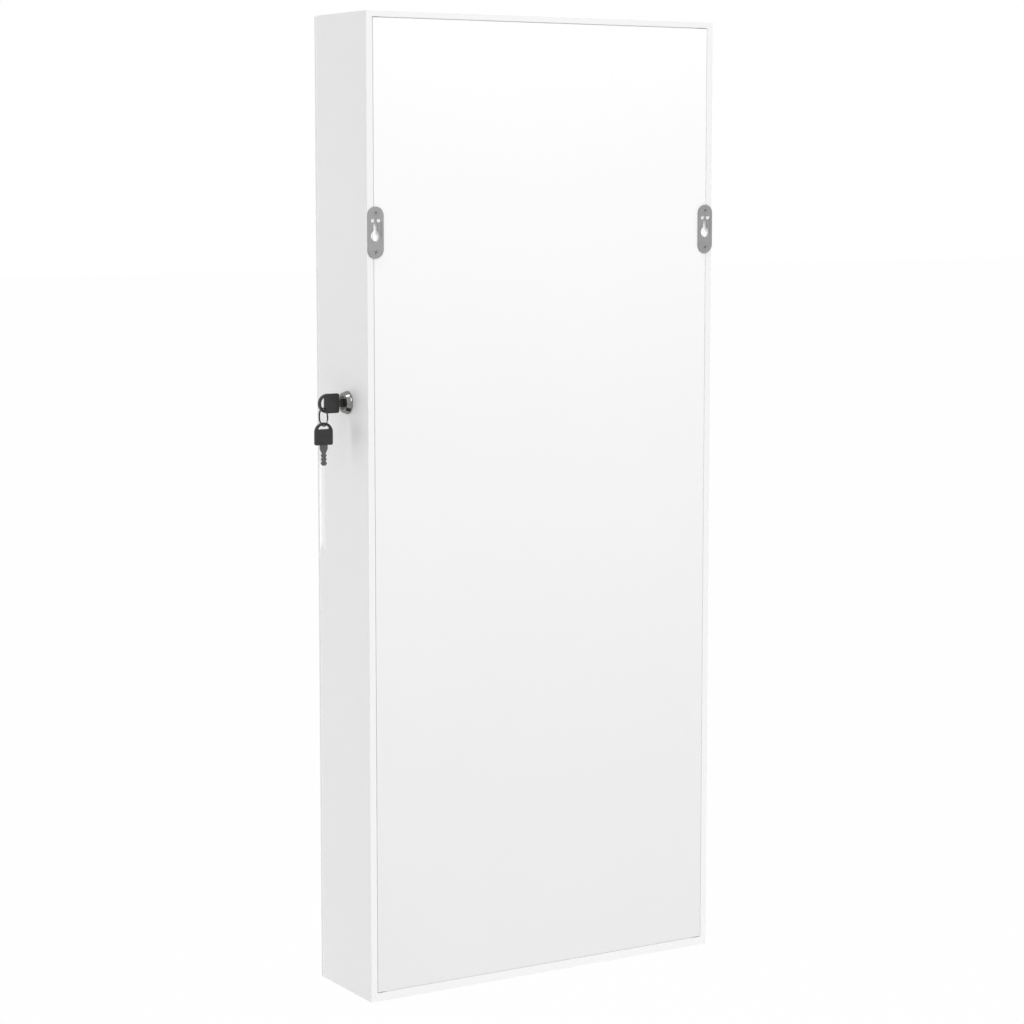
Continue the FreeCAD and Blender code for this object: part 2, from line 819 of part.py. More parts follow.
node("cabinet_hinge_leaves", group([cabinet_leaf(level) for level in hinge_levels]))
node("door_hinge_leaves", group([door_leaf(level) for level in hinge_levels]))
node("hinge_pins", group([hinge_pin(level) for level in hinge_levels]))
node("cabinet_hinge_screws", hinge_screws(cabinet_leaf_screws))
node("door_hinge_screws", hinge_screws(door_leaf_screws))


# ---------------------------------------------------------------- cam lock
# The lock's bodies start on the outer face of the lock side, with their own X along the lock.

lock_point = (half_width, y_lock, z_lock)
x_inner_end = -s.lock_body_length
plug_face = s.lock_head_height - s.plug_recess
bore_radius = s.plug_radius + s.plug_clearance
collar_bore = s.plug_collar_radius + s.plug_clearance
collar_seat = plug_face - s.plug_collar_length

housing = new_body("housing_body", lock_point)
housing_profile = new_sketch(housing, "XY_Plane")
draw_outline(housing_profile, [
    (x_inner_end, bore_radius),
    (x_inner_end, s.lock_body_radius),
    (ZERO, s.lock_body_radius),
    (ZERO, s.lock_head_radius),
    (s.lock_flange, s.lock_head_radius),
    (s.lock_head_height, s.lock_face_radius),
    (s.lock_head_height, collar_bore),
    (collar_seat - s.plug_clearance, collar_bore),
    (collar_seat - s.plug_clearance, bore_radius),
])
revolve(housing, housing_profile)
node("lock_housing", housing)

nut = doc.addObject("Part::Prism", "nut_blank")
nut.Polygon = 6
bind(nut, Circumradius=s.lock_nut_radius, Height=s.lock_nut_thickness)
place(nut, (inner_half, y_lock, z_lock), "-X")
nut_radius = s.lock_body_radius + s.plug_clearance
nut_bore = rod((inner_half + SLACK, y_lock, z_lock), "-X", nut_radius, s.lock_nut_thickness + 2 * SLACK)
node("lock_nut", cut(nut, [nut_bore]))

plug = new_body("plug_body", lock_point)
plug_profile = new_sketch(plug, "XY_Plane")
draw_outline(plug_profile, [
    (x_inner_end, ZERO),
    (x_inner_end, s.plug_radius),
    (collar_seat, s.plug_radius),
    (collar_seat, s.plug_collar_radius),
    (plug_face, s.plug_collar_radius),
    (plug_face, ZERO),
])
revolve(plug, plug_profile)
square = new_sketch(plug, "YZ_Plane", x_inner_end)
draw_rectangle(square, centred(0, s.cam_square), centred(0, s.cam_square))
pad(plug, square, s.cam_thickness, Reversed=True)
keyway = new_sketch(plug, "YZ_Plane", plug_face)
draw_rectangle(
    keyway,
    centred(0, s.key_blade_thickness + s.keyway_clearance * 2),
    centred(0, s.key_blade_width + s.keyway_clearance * 2),
)
keyway_depth = s.key_blade_length - s.key_stand_off - s.plug_recess + s.keyway_extra
pocket(plug, keyway, keyway_depth)
tapped = new_sketch(plug, "YZ_Plane", cam_back)
draw_circle(tapped, (ZERO, ZERO), s.cam_screw_radius)
pocket(plug, tapped, s.cam_screw_length, Reversed=True)
node("lock_plug", plug)

# At rest the arm stands up and the hook points to the door; a quarter turn drops it behind the keeper's bar.
cam = new_body("cam_body", lock_point)
arm = new_sketch(cam, "YZ_Plane", cam_back)
arm_half = s.cam_arm_width / 2
hook_inner = s.cam_reach - s.hook_width
draw_outline(arm, [
    (arm_half, ZERO),
    (arm_half, s.cam_reach),
    (-arm_half - s.hook_depth, s.cam_reach),
    (-arm_half - s.hook_depth, hook_inner),
    (-arm_half, hook_inner),
    (-arm_half, ZERO),
])
pad(cam, arm, s.cam_thickness)
hub = new_sketch(cam, "YZ_Plane", cam_back)
draw_circle(hub, (ZERO, ZERO), s.cam_hub_radius)
pad(cam, hub, s.cam_thickness)
square_hole = new_sketch(cam, "YZ_Plane", cam_back)
draw_rectangle(square_hole, centred(0, s.cam_square), centred(0, s.cam_square))
pocket(cam, square_hole, s.cam_thickness, Reversed=True)
node("lock_cam", cam)

cam_screw_at = (half_width + cam_back, y_lock, z_lock)
node("cam_screw", fuse([
    rod(cam_screw_at, "-X", s.cam_screw_head_radius, s.cam_screw_head_length),
    rod(cam_screw_at, "+X", s.cam_screw_radius, s.cam_screw_length),
]))

# The keeper is an angle on the door. Its shelf has a window for the hook and a bar that the hook holds.
bar_front = y_lock - hook_inner + s.keeper_clearance
keeper_foot = block(
    keeper_x,
    (y_door_inner, y_keeper),
    (keeper_top - s.keeper_foot, keeper_top),
)
keeper_shelf = block(
    keeper_x,
    (y_door_inner, bar_front + s.keeper_bar),
    (keeper_top - s.keeper_thickness, keeper_top),
)
window = block(
    centred(cam_x, s.keeper_window_width),
    (y_lock - s.cam_reach - s.keeper_clearance, bar_front),
    (keeper_top - s.keeper_thickness - SLACK, keeper_top + SLACK),
)
keeper_holes = [screw_hole(p, "-Y", small=True) for p in keeper_screw_points]
node("lock_keeper", cut(fuse([keeper_foot, keeper_shelf]), [window] + keeper_holes))
node("keeper_screws", group([screw(p, "-Y", small=True) for p in keeper_screw_points]))


# ---------------------------------------------------------------- keys and their ring
# A key's body lies in the XZ plane: from the origin the blade goes towards -X and the head towards +X.

half_key = s.key_head_thickness / 2


def key_head(label, at, turn):
    body = new_body(label, at, turn)
    outline = new_sketch(body, "XZ_Plane", -half_key)
    draw_rectangle(outline, (ZERO, s.key_head_straight), (-s.key_head_radius, s.key_head_radius))
    pad(body, outline, s.key_head_thickness)
    round_end = new_sketch(body, "XZ_Plane", -half_key)
    draw_circle(round_end, (s.key_head_straight, ZERO), s.key_head_radius)
    pad(body, round_end, s.key_head_thickness)
    slot = new_sketch(body, "XZ_Plane", -half_key)
    draw_segment(slot, s.key_head_straight, s.key_head_radius - s.key_rim, s.key_slot_chord)
    pocket(body, slot, s.key_head_thickness, Reversed=True)
    tang = new_sketch(body, "YZ_Plane")
    draw_rectangle(tang, centred(0, s.key_blade_thickness), centred(0, s.key_bitted_width))
    pocket(body, tang, s.key_tang, Reversed=True)
    doc.recompute()
    head = body.Tip
    corners = body.newObject("PartDesign::Fillet", "corners")
    corners.Base = (head, corner_edges(head.Shape))
    bind(corners, Radius=s.key_head_corner)
    return body


def corner_edges(shape):
    """The two outer edges across the flat end of a key head."""
    names = []
    for index, edge in enumerate(shape.Edges):
        box = edge.BoundBox
        across = box.YLength > SIZES["key_head_thickness"] / 2 and box.XLength < 1e-6 and box.ZLength < 1e-6
        at_end = abs(box.XMin) < 1e-6 and abs(abs(box.ZMin) - SIZES["key_head_radius"]) < 1e-6
        if across and at_end:
            names.append(f"Edge{index + 1}")
    return names


def draw_segment(sketch, middle, radius, chord):
    """The part of a circle beyond a chord: the slot for the key ring."""
    c, r, k = as_size(middle).number, as_size(radius).number, as_size(chord).number
    reach = math.sqrt(r * r - k * k)
    angle = math.atan2(reach, k)
    circle = Part.Circle(FreeCAD.Vector(c, 0, 0), FreeCAD.Vector(0, 0, 1), r)
    arc = sketch.addGeometry(Part.ArcOfCircle(circle, -angle, angle))
    ends = FreeCAD.Vector(c + k, reach, 0), FreeCAD.Vector(c + k, -reach, 0)
    line = sketch.addGeometry(Part.LineSegment(*ends))
    sketch.addConstraint(Sketcher.Constraint("Coincident", arc, 2, line, 1))
    sketch.addConstraint(Sketcher.Constraint("Coincident", line, 2, arc, 1))
    sketch.addConstraint(Sketcher.Constraint("Vertical", line))
    fix_point(sketch, arc, 3, (middle, ZERO))
    fix_radius(sketch, arc, radius)
    index = sketch.addConstraint(Sketcher.Constraint("DistanceX", line, 1, c + k))
    sketch.setExpression(f"Constraints[{index}]", (as_size(middle) + chord).text)


def key_blade(label, at, turn):
    """A flat blade: a wide shoulder that tapers, then cuts in both edges up to a rounded tip."""
    body = new_body(label, at, turn)
    tang_half = s.key_bitted_width / 2
    wide_half = s.key_blade_width / 2
    upper = [(s.key_tang, tang_half), (ZERO, tang_half), (ZERO, wide_half), (-s.key_shoulder, wide_half)]
    cut_half = tang_half - s.key_cut_depth
    for k in range(KEY_CUT_COUNT):
        at = -s.key_first_cut - s.key_cut_pitch * k
        upper += [(at, cut_half), (at - s.key_cut_pitch / 2, tang_half)]
    upper.append((-s.key_blade_length + s.key_tip_length, tang_half))
    upper.append((-s.key_blade_length, s.key_tip_width / 2))
    outline = new_sketch(body, "XZ_Plane", -(s.key_blade_thickness / 2))
    draw_outline(outline, upper + [(x, -z) for x, z in reversed(upper)])
    pad(body, outline, s.key_blade_thickness)
    return body


upright = FreeCAD.Rotation()
hanging = FreeCAD.Rotation(FreeCAD.Vector(0, 1, 0), -90)
key_point = (half_width + s.lock_head_height + s.key_stand_off, y_lock, z_lock)
node("key_head", key_head("key_head_body", key_point, upright))
node("key_blade", key_blade("key_blade_body", key_point, upright))

# The ring hangs in the lowest corner of the first key's slot, and the spare key hangs from the ring.
slot_radius = s.key_head_radius - s.key_rim
x_ring = key_point[0] + s.key_head_straight + s.key_slot_chord + s.ring_wire_radius + s.ring_play
ring_from_centre = (x_ring - key_point[0] - s.key_head_straight).number
slot_floor = Size(
    f"sqrt({slot_radius.text} ^ 2 - {(x_ring - key_point[0] - s.key_head_straight).text} ^ 2)",
    math.sqrt(slot_radius.number ** 2 - ring_from_centre ** 2),
)
z_ring = z_lock - slot_floor + s.hang_gap + s.ring_wire_radius - s.ring_radius
ring = doc.addObject("Part::Torus", "ring")
bind(ring, Radius1=s.ring_radius, Radius2=s.ring_wire_radius)
place(ring, (x_ring, y_lock, z_ring), "+X")
node("key_ring", ring)

z_wire = z_ring - s.ring_radius
z_spare = z_wire + s.ring_wire_radius + s.ring_play - slot_radius - s.key_head_straight
spare_point = (x_ring, y_lock, z_spare)
node("spare_key_head", key_head("spare_head_body", spare_point, hanging))
node("spare_key_blade", key_blade("spare_blade_body", spare_point, hanging))


# ---------------------------------------------------------------- fittings inside the cabinet

back_lining_x = (-(inner_half - s.lining_gap), inner_half - s.lining_gap)
back_lining_z = (z_floor + s.lining_gap, z_ceiling - s.lining_gap)
node("back_lining", block(back_lining_x, (y_lining, y_back_inner), back_lining_z))

shelf_names = ("lower", "middle", "upper")
shelf_levels = [z_floor + s.first_shelf_height + s.shelf_pitch * k for k in range(SHELF_COUNT)]
y_shelf_front = y_lining - s.shelf_depth
rails = []
for name, level in zip(shelf_names, shelf_levels):
    z_span = (level, level + s.shelf_thickness)
    node(f"shelf_{name}", block((-inner_half, inner_half), (y_shelf_front, y_lining), z_span))
    rail_top = level + s.shelf_thickness + s.rail_height
    rails.append(block(back_lining_x, (y_shelf_front - s.rail_thickness, y_shelf_front), (level, rail_top)))
node("shelf_rails", group(rails))

rod_y = y_lining - s.rod_setback
rod_z = z_floor + s.rod_height
rod_half = inner_half - s.socket_floor
node("bracelet_rod", rod((-rod_half, rod_y, rod_z), "+X", s.rod_radius, rod_half * 2))


def rod_socket(side):
    """A round cup on the side wall that holds one end of the rod."""
    inwards = "-X" if side > 0 else "+X"
    cup = rod((inner_half * side, rod_y, rod_z), inwards, s.socket_radius, s.socket_length)
    bore = rod((rod_half * side, rod_y, rod_z), inwards, s.rod_radius + s.rod_clearance, s.socket_length)
    return cut(cup, [bore])


node("rod_sockets", group([rod_socket(-1), rod_socket(1)]))

tray_x = (-(inner_half - s.ring_tray_hinge_margin), inner_half - s.ring_tray_lock_margin)
tray_z = (z_floor + s.ring_tray_level, z_floor + s.ring_tray_level + s.ring_tray_height)
y_tray_front = y_lining - s.ring_tray_depth
tray_blank = block(tray_x, (y_tray_front, y_lining), tray_z)
tray_hollow = block(
    (tray_x[0] + s.ring_tray_wall, tray_x[1] - s.ring_tray_wall),
    (y_tray_front - SLACK, y_lining - s.ring_tray_back),
    (tray_z[0] + s.ring_tray_wall, tray_z[1] - s.ring_tray_wall),
)
node("ring_tray", cut(tray_blank, [tray_hollow]))


def ring_cushion():
    """A padded insert: rolls side by side with a slit between each two, drawn in towards both ends."""
    inset = s.ring_tray_wall.number + s.cushion_clearance.number
    x_low, x_high = tray_x[0].number + inset, tray_x[1].number - inset
    z_low, z_high = tray_z[0].number + inset, tray_z[1].number - inset
    y_deep = (y_lining - s.ring_tray_back).number
    y_slit = y_tray_front.number
    pitch = (z_high - z_low) / ROLL_COUNT
    end_drop = s.cushion_end_drop.number
    end_length = s.cushion_end_length.number

    def profile(x, drop):
        """The outline at one X: flat at the back, one arc for each roll at the front."""
        y_valley = y_slit + drop
        crown = s.cushion_rise.number - drop
        corner = FreeCAD.Vector
        edges = [Part.makeLine(corner(x, y_valley, z_low), corner(x, y_deep, z_low))]
        edges.append(Part.makeLine(corner(x, y_deep, z_low), corner(x, y_deep, z_high)))
        edges.append(Part.makeLine(corner(x, y_deep, z_high), corner(x, y_valley, z_high)))
        for k in range(ROLL_COUNT):
            high = z_high - pitch * k
            crest = corner(x, y_valley - crown, high - pitch / 2)
            low = corner(x, y_valley, high - pitch)
            edges.append(Part.Arc(corner(x, y_valley, high), crest, low).toShape())
        return Part.Wire(edges)

    sections = [
        profile(x_low, end_drop),
        profile(x_low + end_length, 0),
        profile(x_high - end_length, 0),
        profile(x_high, end_drop),
    ]
    return Part.makeLoft(sections, True, True)


cushion = doc.addObject("Part::Feature", "cushion")
cushion.Shape = ring_cushion()
cushion.Placement = FreeCAD.Placement()
node("ring_cushion", cushion)


def peg(at, direction, length):
    """A round hook: a thin shank with a disc at its end."""
    tip = shifted(at, direction, length)
    return fuse([
        rod(at, direction, s.hook_radius, length),
        rod(tip, direction, s.hook_head_radius, s.hook_head_length),
    ])


def peg_row(count, rail_half, y, z, direction, length):
    places = spread(rail_half - s.hook_end_margin, count)
    return group([peg((x, y, z), direction, length) for x in places])


rail_z = (z_ceiling - s.hook_rail_drop - s.hook_rail_height, z_ceiling - s.hook_rail_drop)
y_rail_front = y_lining - s.hook_rail_thickness
rail_half = inner_half - s.hook_rail_margin
node("necklace_rail", block((-rail_half, rail_half), (y_rail_front, y_lining), rail_z))
hook_z = (rail_z[0] + rail_z[1]) / 2
node("necklace_hooks", peg_row(HOOK_COUNT, rail_half, y_rail_front, hook_z, "-Y", s.hook_length))

y_catch_front = y_strike + s.catch_gap
catch_x = centred(catch_at, s.catch_width)
catch_y = (y_catch_front, y_catch_front + s.catch_depth)
catch_z = (z_ceiling - s.catch_height, z_ceiling)
catch_blank = block(catch_x, catch_y, catch_z)
magnet_x = (catch_x[0] + s.catch_wall, catch_x[1] - s.catch_wall)
magnet_z = (catch_z[0] + s.catch_wall, catch_z[1] - s.catch_wall)
magnet_y = (y_catch_front, catch_y[1] - s.catch_wall)
node("catch_housing", cut(catch_blank, [block(magnet_x, magnet_y, magnet_z)]))
node("catch_magnet", block(magnet_x, magnet_y, magnet_z))

strike = block(centred(catch_at, s.strike_width), (y_door_inner, y_strike), z_strike)
node("strike_plate", cut(strike, [screw_hole(p, "-Y", small=True) for p in strike_screw_points]))
node("strike_screws", group([screw(p, "-Y", small=True) for p in strike_screw_points]))


# ---------------------------------------------------------------- fittings on the door

y_rack = (y_door_lining, y_door_lining + s.rack_depth)
rack_half = inner_half - s.rack_margin
strip_half = rack_half - s.rack_side_thickness
rack_z = (z_ceiling - s.rack_drop - s.rack_height, z_ceiling - s.rack_drop)
for side, name in ((-1, "left"), (1, "right")):
    x_span = mirrored((strip_half, rack_half), side)
    node(f"earring_rack_side_{name}", block(x_span, y_rack, rack_z))


def earring_strip(index):
    """A thin strip between the rack's sides, with a row of notches for earring hooks."""
    first = rack_z[0] + s.rack_strip_margin
    climb = s.rack_height - s.rack_strip_margin * 2 - s.rack_strip_height
    level = first + climb * (index / (STRIP_COUNT - 1))
    body = new_body(f"strip_{index}", (ZERO, y_rack[1] - s.rack_strip_thickness, level))
    outline = new_sketch(body, "XZ_Plane")
    draw_rectangle(outline, (-strip_half, strip_half), (ZERO, s.rack_strip_height))
    pad(body, outline, s.rack_strip_thickness, Reversed=True)
    notch = new_sketch(body, "XZ_Plane")
    row_half = strip_half - s.notch_end_margin
    notch_top = (s.rack_strip_height - s.notch_depth, s.rack_strip_height)
    draw_rectangle(notch, centred(-row_half, s.notch_width), notch_top)
    cut_one = pocket(body, notch, s.rack_strip_thickness)
    doc.recompute()
    row = body.newObject("PartDesign::LinearPattern", "row")
    row.Originals = [cut_one]
    row.Direction = (notch, ["H_Axis"])
    bind(row, Length=row_half * 2)
    row.Occurrences = NOTCH_COUNT
    body.Tip = row
    return body


node("earring_strips", group([earring_strip(k) for k in range(STRIP_COUNT)]))

door_rail_top = rack_z[0] - s.door_rail_drop
door_rail_z = (door_rail_top - s.door_rail_height, door_rail_top)
door_rail_half = inner_half - s.door_rail_margin
y_door_rail = (y_door_lining, y_door_lining + s.door_rail_thickness)
node("door_hook_rail", block((-door_rail_half, door_rail_half), y_door_rail, door_rail_z))
door_hook_z = (door_rail_z[0] + door_rail_z[1]) / 2
door_hooks = peg_row(DOOR_HOOK_COUNT, door_rail_half, y_door_rail[1], door_hook_z, "+Y", s.door_hook_length)
node("door_hooks", door_hooks)

door_tray_half = inner_half - s.door_tray_margin
door_tray_x = (-door_tray_half, door_tray_half)
door_tray_z = (z_floor + s.door_tray_level, z_floor + s.door_tray_level + s.door_tray_height)
door_tray_blank = block(door_tray_x, (y_door_lining, y_door_lining + s.door_tray_depth), door_tray_z)
door_tray_hollow = block(
    (door_tray_x[0] + s.door_tray_wall, door_tray_x[1] - s.door_tray_wall),
    (y_door_lining + s.door_tray_wall, y_door_lining + s.door_tray_depth - s.door_tray_wall),
    (door_tray_z[0] + s.door_tray_wall, door_tray_z[1] + SLACK),
)
node("door_tray", cut(door_tray_blank, [door_tray_hollow]))


# ---------------------------------------------------------------- checks and export

doc.recompute()
for obj in doc.Objects:
    if "Invalid" in obj.State or "Error" in obj.State:
        raise RuntimeError(f"{obj.Name} ({obj.Label}) did not build: {obj.State}")

os.makedirs("parts", exist_ok=True)
for obj in nodes:
    shape = obj.Shape
    if shape.isNull() or not shape.isValid() or not shape.Solids:
        raise RuntimeError(f"{obj.Label} has no valid solid")
    box = shape.BoundBox
    spans = ((box.XMin, box.XMax), (box.YMin, box.YMax), (box.ZMin, box.ZMax))
    extent = "  ".join(f"{low:8.2f} {high:8.2f}" for low, high in spans)
    print(f"{obj.Label:24s} {len(shape.Solids):3d} {shape.Volume:12.1f}  {extent}")
    shape.exportStep(f"parts/{obj.Label}.step")
print(len(nodes), "nodes")
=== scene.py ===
import math
import random

import bmesh
import bpy
from mathutils import Matrix, Vector, noise


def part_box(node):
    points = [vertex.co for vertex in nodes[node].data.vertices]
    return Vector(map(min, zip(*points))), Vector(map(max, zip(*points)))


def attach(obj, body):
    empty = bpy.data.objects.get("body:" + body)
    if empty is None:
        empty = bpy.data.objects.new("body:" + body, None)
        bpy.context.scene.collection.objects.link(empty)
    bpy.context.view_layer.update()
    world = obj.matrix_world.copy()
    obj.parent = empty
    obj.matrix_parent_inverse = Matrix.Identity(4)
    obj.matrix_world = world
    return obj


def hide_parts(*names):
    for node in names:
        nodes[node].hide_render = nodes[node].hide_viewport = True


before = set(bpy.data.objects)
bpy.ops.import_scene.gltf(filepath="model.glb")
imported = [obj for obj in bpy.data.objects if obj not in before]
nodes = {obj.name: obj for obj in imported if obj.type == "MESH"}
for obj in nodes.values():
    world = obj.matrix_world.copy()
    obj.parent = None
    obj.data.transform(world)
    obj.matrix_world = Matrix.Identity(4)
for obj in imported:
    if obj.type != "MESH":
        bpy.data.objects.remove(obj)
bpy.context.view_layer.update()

# Lengths are in metres. The cabinet's back faces +y, its mirror -y, its lock +x.
WHITE = (1, 1, 1, 1)


# ---------------------------------------------------------------- mesh helpers

def link_object(name, data):
    obj = bpy.data.objects.new(name, data)
    bpy.context.scene.collection.objects.link(obj)
    return obj


def new_piece(name, mesh, body, node_names, smooth=True):
    """Links a mesh as a piece that rides on a body and stands for CAD nodes."""
    obj = link_object(name, mesh)
    if smooth:
        mesh.polygons.foreach_set("use_smooth", [True] * len(mesh.polygons))
    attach(obj, body)
    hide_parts(*node_names)
    return obj


def mesh_from(name, verts, faces):
    mesh = bpy.data.meshes.new(name)
    mesh.from_pydata([tuple(v) for v in verts], [], faces)
    mesh.validate()
    return mesh


def sheet(name, half_x, half_y, level=0):
    """A flat rectangle about the z axis."""
    signs = ((-1, -1), (1, -1), (1, 1), (-1, 1))
    return mesh_from(name, [(x * half_x, y * half_y, level) for x, y in signs], [(0, 1, 2, 3)])


def outward(mesh):
    """Turns every face of a closed mesh outwards."""
    bm = bmesh.new()
    bm.from_mesh(mesh)
    bmesh.ops.recalc_face_normals(bm, faces=bm.faces)
    bm.to_mesh(mesh)
    bm.free()
    return mesh


def join_meshes(name, meshes_and_matrices):
    """One mesh made of copies of other meshes."""
    bm = bmesh.new()
    for mesh, matrix in meshes_and_matrices:
        start = len(bm.verts)
        bm.from_mesh(mesh)
        bm.verts.ensure_lookup_table()
        bmesh.ops.transform(bm, matrix=matrix, verts=bm.verts[start:])
    mesh = bpy.data.meshes.new(name)
    bm.to_mesh(mesh)
    bm.free()
    return mesh


def turned(name, profile, segments):
    """A closed lathe form round +Z from (radius, height) points, top and bottom on the axis."""
    verts, faces, rings = [], [], []
    for radius, height in profile:
        if radius <= 0:
            rings.append([len(verts)])
            verts.append((0, 0, height))
            continue
        ring = []
        for i in range(segments):
            a = 2 * math.pi * i / segments
            ring.append(len(verts))
            verts.append((radius * math.cos(a), radius * math.sin(a), height))
        rings.append(ring)
    for low, high in zip(rings, rings[1:]):
        for i in range(segments):
            j = (i + 1) % segments
            if len(low) == 1:
                faces.append((low[0], high[j], high[i]))
            elif len(high) == 1:
                faces.append((low[i], low[j], high[0]))
            else:
                faces.append((low[i], low[j], high[j], high[i]))
    return outward(mesh_from(name, verts, faces))


def carved(name, base, cutters):
    """The base mesh with cutter meshes taken out of it."""
    target = link_object(name + "_carving", base)
    tools = []
    for i, cutter in enumerate(cutters):
        tool = link_object(f"{name}_tool_{i}", cutter)
        tools.append(tool)
        mod = target.modifiers.new(f"cut_{i}", "BOOLEAN")
        mod.operation = "DIFFERENCE"
        mod.solver = "EXACT"
        mod.object = tool
    graph = bpy.context.evaluated_depsgraph_get()
    mesh = bpy.data.meshes.new_from_object(target.evaluated_get(graph))
    mesh.name = name
    for obj in tools + [target]:
        bpy.data.objects.remove(obj)
    return mesh


def backed(name, verts, faces, width, lines, back, flip):
    """Closes a grid of lines with width points each, by walls from its outline and a cap at y = back."""
    border = list(range(width)) + [j * width + width - 1 for j in range(1, lines)]
    border += [(lines - 1) * width + i for i in range(width - 2, -1, -1)]
    border += [j * width for j in range(lines - 2, 0, -1)]
    start, count = len(verts), len(border)
    for index in border:
        x, y, z = verts[index]
        verts.append((x, back, z))
    for k in range(count):
        n = (k + 1) % count
        quad = (border[k], border[n], start + n, start + k)
        faces.append(quad[::-1] if flip else quad)
    cap = tuple(start + k for k in range(count))
    faces.append(cap if flip else cap[::-1])
    return outward(mesh_from(name, verts, faces))


WELD_DISTANCE = 0.00001
BEVEL_STEPS = 3
BEVEL_FROM = math.radians(35)
NORMAL_WEIGHT = 60


def soften(obj, width, flat):
    """Rounds the sharp edges of a CAD node by a modifier; flat keeps large flat faces flat."""
    weld = obj.modifiers.new("weld", "WELD")
    weld.merge_threshold = WELD_DISTANCE
    bevel = obj.modifiers.new("edges", "BEVEL")
    bevel.width = width
    bevel.segments = BEVEL_STEPS
    bevel.limit_method = "ANGLE"
    bevel.angle_limit = BEVEL_FROM
    bevel.use_clamp_overlap = True
    bevel.harden_normals = flat
    if flat:
        return
    normals = obj.modifiers.new("normals", "WEIGHTED_NORMAL")
    normals.keep_sharp = False
    normals.weight = NORMAL_WEIGHT


# ---------------------------------------------------------------- materials

class Nodes:
    """A small helper for node-based materials. Noise scales are per metre, bump distances in metres."""

    def __init__(self, name):
        self.material = bpy.data.materials.new(name)
        self.material.use_nodes = True
        self.tree = self.material.node_tree
        self.tree.nodes.clear()
        self.output = self.add("ShaderNodeOutputMaterial")
        self.shader = self.add("ShaderNodeBsdfPrincipled")
        self.link(self.shader, "BSDF", self.output, "Surface")
        self.coords = self.add("ShaderNodeTexCoord")

    def add(self, kind, **values):
        node = self.tree.nodes.new(kind)
        for key, value in values.items():
            setattr(node, key, value)
        return node

    def link(self, source, out, target, into):
        self.tree.links.new(source.outputs[out], target.inputs[into])

    def set(self, **values):
        """Constants of the shader, with _ for each space in a socket's name."""
        for key, value in values.items():
            self.shader.inputs[key.replace("_", " ")].default_value = value

    def noise(self, scale, detail=4.0, rough=0.5, stretch=(1, 1, 1), distortion=0.0):
        mapping = self.add("ShaderNodeMapping")
        mapping.inputs["Scale"].default_value = stretch
        self.link(self.coords, "Object", mapping, "Vector")
        tex = self.add("ShaderNodeTexNoise")
        tex.inputs["Scale"].default_value = scale
        tex.inputs["Detail"].default_value = detail
        tex.inputs["Roughness"].default_value = rough
        tex.inputs["Distortion"].default_value = distortion
        self.link(mapping, "Vector", tex, "Vector")
        return tex

    def range(self, source, low, high, out="Fac", from_low=0.0, from_high=1.0):
        node = self.add("ShaderNodeMapRange")
        node.inputs["From Min"].default_value = from_low
        node.inputs["From Max"].default_value = from_high
        node.inputs["To Min"].default_value = low
        node.inputs["To Max"].default_value = high
        self.link(source, out, node, "Value")
        return node

    def colour(self, source, stops, out="Fac"):
        """The base colour by a ramp of (position, colour or grey) stops."""
        ramp = self.add("ShaderNodeValToRGB")
        for element, (position, colour) in zip(ramp.color_ramp.elements, stops):
            element.position = position
            if not hasattr(colour, "__len__"):
                colour = (colour, colour, colour)
            element.color = (*colour, 1)
        self.link(source, out, ramp, "Fac")
        self.link(ramp, "Color", self.shader, "Base Color")

    def roughness(self, source, low, high):
        self.link(self.range(source, low, high), "Result", self.shader, "Roughness")

    def bump(self, source, strength, distance, under=None):
        node = self.add("ShaderNodeBump")
        node.inputs["Strength"].default_value = strength
        node.inputs["Distance"].default_value = distance
        self.link(source, "Fac", node, "Height")
        if under:
            self.link(under, "Normal", node, "Normal")
        self.link(node, "Normal", self.shader, "Normal")
        return node


GLOSS_SCALE = 35.0
GLOSS = (0.40, 0.50)
PEEL_SCALE = 900.0
PEEL_STRENGTH = 0.12


def lacquer(name, colour, peel=0.00004, mottle=0.012, specular=0.4, glow=0.0):
    """Sprayed satin lacquer: a fine orange peel, and gloss that varies a little over the board."""
    m = Nodes(name)
    dark = tuple(c * (1 - mottle) for c in colour)
    m.colour(m.noise(7.0, 3.0), [(0.3, dark), (0.7, colour)])
    m.roughness(m.noise(GLOSS_SCALE, 2.0), *GLOSS)
    m.set(Specular_IOR_Level=specular, IOR=1.47)
    first = m.bump(m.noise(PEEL_SCALE, 2.0), PEEL_STRENGTH, peel)
    m.bump(m.noise(160.0, 2.0), 0.10, peel * 2, under=first)
    # The glow is painted light: the lacquer gives off light of its own, though it is no lamp.
    if glow:
        m.set(Emission_Color=WHITE, Emission_Strength=glow)
    return m.material


def metal(name, colour, low, high, grain=(1, 1, 1), scale=900.0, strength=0.15, metallic=1.0):
    """Metal or zinc with a cloudy tone and a fine grain, which sets its roughness from low to high."""
    m = Nodes(name)
    dark = tuple(c * 0.86 for c in colour)
    m.colour(m.noise(60.0, 4.0, 0.6), [(0.25, dark), (0.75, colour)])
    brushed = m.noise(scale, 3.0, 0.6, grain)
    m.roughness(brushed, low, high)
    m.set(Metallic=metallic)
    m.bump(brushed, strength, 0.00001)
    return m.material


def moulded(name, colour, low=0.32, high=0.46):
    """Moulded plastic with a fine spark-eroded grain and worn, slightly paler high spots."""
    m = Nodes(name)
    pale = tuple(min(1.0, c * 1.5 + 0.004) for c in colour)
    m.colour(m.noise(120.0, 5.0, 0.65), [(0.35, colour), (0.8, pale)])
    m.roughness(m.noise(300.0, 3.0), low, high)
    m.set(Specular_IOR_Level=0.45)
    m.bump(m.noise(1400.0, 2.0), 0.25, 0.00003)
    return m.material


